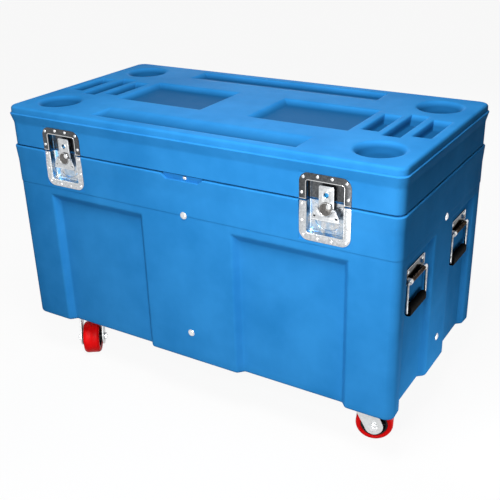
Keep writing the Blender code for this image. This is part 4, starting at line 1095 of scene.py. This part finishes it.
# Fork: a flat bar carried down one arm, over the crown and down the other. Its front and back edges
# follow the arm's teardrop shape on the arms and a disc on the crown.
def forkPatches():
    top, sheet, half, bend = caster["forkTop"], caster["forkSheet"], caster["forkHalf"], caster["forkBend"]
    end, edge, trail = caster["armEnd"], caster["forkEdge"], caster["trail"]
    sweep = np.cos(np.linspace(np.pi * 0.985, np.pi / 2, 14))
    heights = np.concatenate([end * sweep, np.linspace(0, top - bend, 22)[1:]])
    turn = np.radians(np.linspace(180, 90, 9))[1:]
    arm = np.ones(len(heights))
    inner = -half + bend
    y = np.concatenate([-half * arm, inner + bend * np.cos(turn), np.linspace(inner, 0, 8)[1:]])
    z = np.concatenate([heights, top - bend + bend * np.sin(turn), np.full(7, top)])
    normalY = np.concatenate([-arm, np.cos(turn), np.zeros(7)])[:, None]
    normalZ = np.concatenate([0 * arm, np.sin(turn), np.ones(7)])[:, None]
    # Each edge is round the axle below its turn (height, reach), and straight from there to the crown
    rounding = np.sqrt(np.clip(end ** 2 - z ** 2, 0, None))
    (frontZ, frontX), (backZ, backX), armTop = caster["frontTurn"], caster["backTurn"], caster["armTop"]
    front = np.where(z < frontZ, trail + rounding, np.interp(z, [frontZ, top], [trail + frontX, armTop]))
    back = np.where(z < backZ, trail - rounding, np.interp(z, [backZ, top], [backX, -armTop]))
    disc = np.sqrt(np.clip(caster["forkCrown"] ** 2 - y ** 2, 0, None))
    onCrown = z > top - 1 * mm
    front = np.where(onCrown, np.maximum(front, disc), front)[:, None]
    back = np.where(onCrown, np.minimum(back, -disc), back)[:, None]
    # The section is a flat bar with rounded edges: share runs from its back edge to its front edge and
    # sink is how far a point lies under the outer face
    share = np.concatenate([[0, 0, 0], np.linspace(0, 1, 7)[1:-1], [1, 1, 1]])
    shift = edge * np.concatenate([[0, 0.3, 1], np.linspace(1, -1, 7)[1:-1], [-1, -0.3, 0]])
    sink = edge * np.concatenate([[1, 0.3, 0], np.zeros(5), [0, 0.3, 1]])
    share, shift = np.concatenate([share, share[::-1]]), np.concatenate([shift, shift[::-1]])
    sink = np.concatenate([sink, sheet - sink])
    strip = np.stack([back + (front - back) * share + shift, y[:, None] - sink * normalY,
                      z[:, None] - sink * normalZ], axis=-1)
    return sweptPatches(np.concatenate([strip, strip[-2::-1] * (1, -1, 1)]))


# Axle: a rod with a turned washer, a hexagon nut and a domed end on each side
def axlePatches():
    start, radius, rod = caster["headFrom"], caster["head"], caster["rod"]
    nutLow = start + caster["washer"]
    nutHigh = nutLow + caster["nutHeight"]
    head = turnedSolid([(radius - 0.3 * mm, start), (radius, start + 0.4 * mm), (radius, nutLow - 0.4 * mm),
                        (radius - 0.5 * mm, nutLow)], 32)
    head += sheetPatches(hexagon * caster["nut"], nutLow - 0.1 * mm, nutHigh, 0.8 * mm)
    head += dome(rod - 0.5 * mm, nutHigh - 0.5 * mm, 1.5 * mm, caster["rodEnd"] - nutHigh + 0.5 * mm, 24)
    patches = turnedSolid([(rod, -start), (rod, start)], 20)
    return patches + head + moved(head, Matrix.Rotation(math.pi, 4, "X"))


# Hub: boss, thin web, rim and ribs; the section is walked up its inside and down its outside
def hubPatches():
    rim, outer, half = caster["hubRim"], caster["hub"], caster["hubHalf"]
    boss, bossHalf, web, bore = caster["boss"], caster["bossHalf"], caster["hubWeb"], caster["bore"]
    upper = [(bore, bossHalf - 0.6 * mm), (bore + 0.6 * mm, bossHalf), (boss - 1.2 * mm, bossHalf),
             (boss, bossHalf - 1.2 * mm), (boss + 0.6 * mm, web + 2 * mm), (boss + 2.6 * mm, web),
             (rim - 2 * mm, web), (rim, web + 2 * mm), (rim + 0.5 * mm, half - 0.8 * mm),
             (rim + 1.3 * mm, half), (outer - 0.6 * mm, half), (outer, half - 0.6 * mm)]
    section = upper + [(radius, -height) for radius, height in upper[::-1]]
    patches = turnedRing(section[::-1], 64)
    reach, thick = caster["ribReach"], caster["ribHalf"]
    rib = sheetPatches(roundedBox((rim - boss + 2 * mm) / 2, -reach, reach, caster["ribCorner"], 3),
                       -thick, thick, 0.4 * mm)
    stand = Matrix.Translation(((rim + boss) / 2, 0, 0)) @ turnX
    for index in range(caster["ribs"]):
        patches += moved(rib, Matrix.Rotation(2 * math.pi * index / caster["ribs"], 4, "Z") @ stand)
    return patches


# Tread: flat in the middle, elliptical shoulders, a fine parting line and a moulded step on each side
def tyrePatches():
    inner, outer, half, shoulder = caster["tyreIn"], caster["tyre"], caster["tyreHalf"], caster["shoulder"]
    turn = np.radians(np.linspace(0, 90, 9))
    shoulderLine = np.stack([outer - shoulder + shoulder * np.sin(turn),
                             half - 1.35 * shoulder + 1.35 * shoulder * np.cos(turn)], axis=-1)
    upper = np.vstack([[(outer, 0.9 * mm)], shoulderLine[::-1],
                       [(inner + 3.2 * mm, half), (inner + 2.6 * mm, half - 0.5 * mm),
                        (inner + 0.6 * mm, half - 0.5 * mm), (inner, half - 1.1 * mm)]])
    return turnedRing(np.vstack([upper[::-1] * (1, -1), [(outer - 0.35 * mm, 0.0)], upper]), 96)


for corner, signX, signY in (("fl", -1, -1), ("fr", 1, -1), ("bl", -1, 1), ("br", 1, 1)):
    spot = Matrix.Translation((signX * caster["along"], signY * caster["across"], caster["axleHeight"]))
    wheelAt = Vector(jointPlace[f"caster_{corner}_wheel_spin"]) - spot.to_translation()
    turn = Matrix.Rotation(math.atan2(wheelAt.y, wheelAt.x), 4, "Z")
    wheel = spot @ turn @ Matrix.Translation((caster["trail"], 0, 0)) @ turnX
    node, label = f"caster_{corner}", f"{corner}Caster"
    makeSet(label, node, spot, [("Plate", casterPlatePatches(), casterZinc, "case_body", "plate")])
    makeSet(label, node, spot @ turn, [("Fork", forkPatches(), casterZinc, f"{node}_swivel", "fork")])
    makeSet(label, node, wheel, [
        ("Axle", axlePatches(), bright, f"{node}_swivel", "axle"),
        ("Hub", hubPatches(), blackPlastic, f"{node}_wheel", "hub"),
        ("Tyre", tyrePatches(), redTread, f"{node}_wheel", "tyre"),
    ])
print("casters made")


# Butt hinges on the back

hinge = metres(half=61, leaf=45, start=4.3, back=-1.7, face=0.3, knuckle=4, pin=2, pinGap=0.4, gap=0.3,
               tongue=1.5, corner=3, screw=4, screwRise=1.5, screwAlong=45.75, screwUp=(16, 36))


# Leaf: a sheet with two square corners, a turned barrel on a tongue for each knuckle, and screws
def leafPatches(side, knuckles):
    half, start, back, face, gap = (hinge[key] for key in ("half", "start", "back", "face", "gap"))
    low, high = sorted((side * start, side * hinge["leaf"]))
    square, corner = 0.3 * mm, hinge["corner"]
    radii = (corner, square, square, corner) if side < 0 else (square, corner, corner, square)
    patches = sheetPatches(roundedBox(half, low, high, radii), back, face, 0.3 * mm)
    bore = hinge["pin"] + hinge["pinGap"]
    low, high = sorted((side * hinge["tongue"], side * (start + 2 * mm)))
    for index in knuckles:
        left = -half + index * (2 * half / 3) + gap
        right = -half + (index + 1) * (2 * half / 3) - gap
        barrel = [(bore, left), *softDisc(hinge["knuckle"], left, right, 0.4 * mm, 0.4 * mm), (bore, right)]
        patches += moved(turnedRing(barrel, 24), turnY)
        patches += sheetPatches(np.array([(left, low), (right, low), (right, high), (left, high)]),
                                back, face, 0.1 * mm)
    screw = dome(hinge["screw"], face - 0.2 * mm, 0.3 * mm, hinge["screwRise"] + 0.2 * mm)
    return patches + mirrored(screw, *((hinge["screwAlong"], side * up) for up in hinge["screwUp"]))


for sideName, side in (("left", -1), ("right", 1)):
    place = outwardFrame((side * latch["along"], jointPlace["lid_hinge"][1], hingePlace["height"]), (0, 1, 0))
    pin = turnedSolid(softDisc(hinge["pin"], -hinge["half"], hinge["half"], 0.3 * mm, 0.3 * mm), 20)
    makeSet(f"{sideName}Hinge", f"hinge_{sideName}", place, [
        ("BodyLeaf", leafPatches(-1, (0, 2)), zinc, "case_body", "body_leaf"),
        ("LidLeaf", leafPatches(1, (1,)), zinc, "lid", "lid_leaf"),
        ("Pin", moved(pin, turnY), bright, "case_body", "pin"),
    ])


# Round-headed bolts on the posts, and the stud in the notch

bolt = metres(washer=10, washerSheet=1.2, head=8, rise=3, clear=0.3, upper=441.6, lower=90,
              stud=6.5, studRise=4, studAlong=5)
walls = {"front": (0, -1, 0), "right": (1, 0, 0), "back": (0, 1, 0), "left": (-1, 0, 0)}


# Bolt: a turned washer under a dome
def boltPatches():
    low, top = bolt["clear"], bolt["clear"] + bolt["washerSheet"]
    washer = turnedSolid(softDisc(bolt["washer"], low, top, 0.3 * mm, 0.4 * mm), 40)
    return washer + dome(bolt["head"], top - 0.1 * mm, 0.5 * mm, bolt["rise"], 32)


for wallName, outward in walls.items():
    distance = halfDepth if outward[0] == 0 else halfLength
    for levelName, inset in (("upper", shell["bandInset"]), ("lower", shell["faceInset"])):
        seat = Vector(outward) * (distance - inset) + Vector((0, 0, bodyLow.z + bolt[levelName]))
        makePiece(f"{wallName}{levelName.title()}Bolt", boltPatches(), bright, "case_body",
                  f"bolt_{wallName}_{levelName}", place=outwardFrame(seat, outward))
studAt = (bolt["studAlong"], notch["depth"] - halfDepth, bodyHigh.z - notch["height"] / 2)
makePiece("notchStud", dome(bolt["stud"], bolt["clear"], 0.8 * mm, bolt["studRise"], 28), bright, "case_body",
          "notch_stud", place=outwardFrame(studAt, (0, -1, 0)))
print("hinges and fasteners made")


# The seal keeps its CAD shape

seal = frame["nodes"]["lid_seal"]
seal.data.materials.clear()
seal.data.materials.append(sealRubber)


# Floor, light and camera

stage = {
    "floorHalf": 8.0,
    "floorColour": (0.86, 0.86, 0.86, 1),
    "bounceColour": (0.18, 0.18, 0.18, 1),
    "floorGlow": 0.93,
    "ambient": 0.02,
}
lamps = {
    "key": {"place": (0.62, -1.55, 1.25), "target": (0.2, -0.3, 0.5), "power": 16.5, "size": 0.5},
    "top": {"place": (0.45, -0.95, 2.40), "target": (0.1, 0, 0.8), "power": 38.0, "size": 0.8},
    "back": {"place": (-1.3, 2.5, 1.5), "target": (0, 0.3, 0.4), "power": 30.0, "size": 1.6},
    "low": {"place": (0.35, -1.7, 0.22), "target": (0.25, -0.3, 0.08), "power": 4.5, "size": 0.6},
    "fill": {"place": (0.95, -0.10, 0.09), "target": (0.6, -0.05, 0.22), "power": 1.2, "size": 0.25},
}
camera = {
    "place": (1.1772, -1.8655, 1.3874),
    "lens": 58.54,
    "sensor": 36,
    "right": (0.8535, 0.5204, -0.0264),
    "down": (0.1994, -0.3730, -0.9062),
}


def showWhite(tree):
    # 1 for camera, glossy and transmission rays, 0 for the light that falls on the case
    rays = addNode(tree, "LightPath").outputs
    seen = maths(tree, "ADD", rays["Is Camera Ray"], rays["Is Glossy Ray"])
    return maths(tree, "ADD", seen, rays["Is Transmission Ray"], clamp=True)


def makeFloor():
    size = stage["floorHalf"]
    floor = bpy.data.meshes.new("floor")
    corners = [(-size, -size, 0), (size, -size, 0), (size, size, 0), (-size, size, 0)]
    floor.from_pydata(corners, [], [(0, 1, 2, 3)])
    floorPiece = bpy.data.objects.new("floor", floor)
    bpy.context.scene.collection.objects.link(floorPiece)
    material, tree, shader = newMaterial("paleFloor")
    # The floor looks pale, and throws back less light than it shows
    seen = mixColours(tree, showWhite(tree), stage["bounceColour"], stage["floorColour"])
    feed(tree, shader, {"Base Color": seen, "Roughness": 0.9, "Specular IOR Level": 0.1})
    glow = addNode(tree, "Emission").outputs["Emission"]
    share = maths(tree, "MULTIPLY", showWhite(tree), stage["floorGlow"])
    mixed = addNode(tree, "MixShader", {"Fac": share, 1: shader.outputs["BSDF"], 2: glow})
    feed(tree, tree.nodes["Material Output"], {"Surface": mixed.outputs["Shader"]})
    floor.materials.append(material)


def makeWorld():
    world = bpy.data.worlds.new("studio")
    bpy.context.scene.world = world
    world.use_nodes = True
    tree = world.node_tree
    strength = rangeNode(tree, showWhite(tree), stage["ambient"], 1.0)
    feed(tree, tree.nodes["Background"], {"Color": (1, 1, 1, 1), "Strength": strength})


def areaLight(name, place, target, power, size):
    data = bpy.data.lights.new(name, "AREA")
    data.energy, data.size = power, size
    lamp = bpy.data.objects.new(name, data)
    bpy.context.scene.collection.objects.link(lamp)
    lamp.location = place
    lamp.rotation_euler = (Vector(target) - Vector(place)).to_track_quat("-Z", "Y").to_euler()
    lamp.visible_camera = False


def makeCamera():
    data = bpy.data.cameras.new("camera")
    data.lens, data.sensor_width = camera["lens"], camera["sensor"]
    piece = bpy.data.objects.new("camera", data)
    bpy.context.scene.collection.objects.link(piece)
    across = Vector(camera["right"]).normalized()
    backward = across.cross(-Vector(camera["down"])).normalized()
    axes = Matrix((across, backward.cross(across), backward)).transposed()
    piece.matrix_world = Matrix.Translation(camera["place"]) @ axes.to_4x4()
    bpy.context.scene.camera = piece


makeFloor()
makeWorld()
for lampName, lamp in lamps.items():
    areaLight(f"{lampName}Light", **lamp)
makeCamera()
bpy.context.scene.view_settings.view_transform = "Standard"
print("stage, lights and camera set")

bpy.context.view_layer.update()
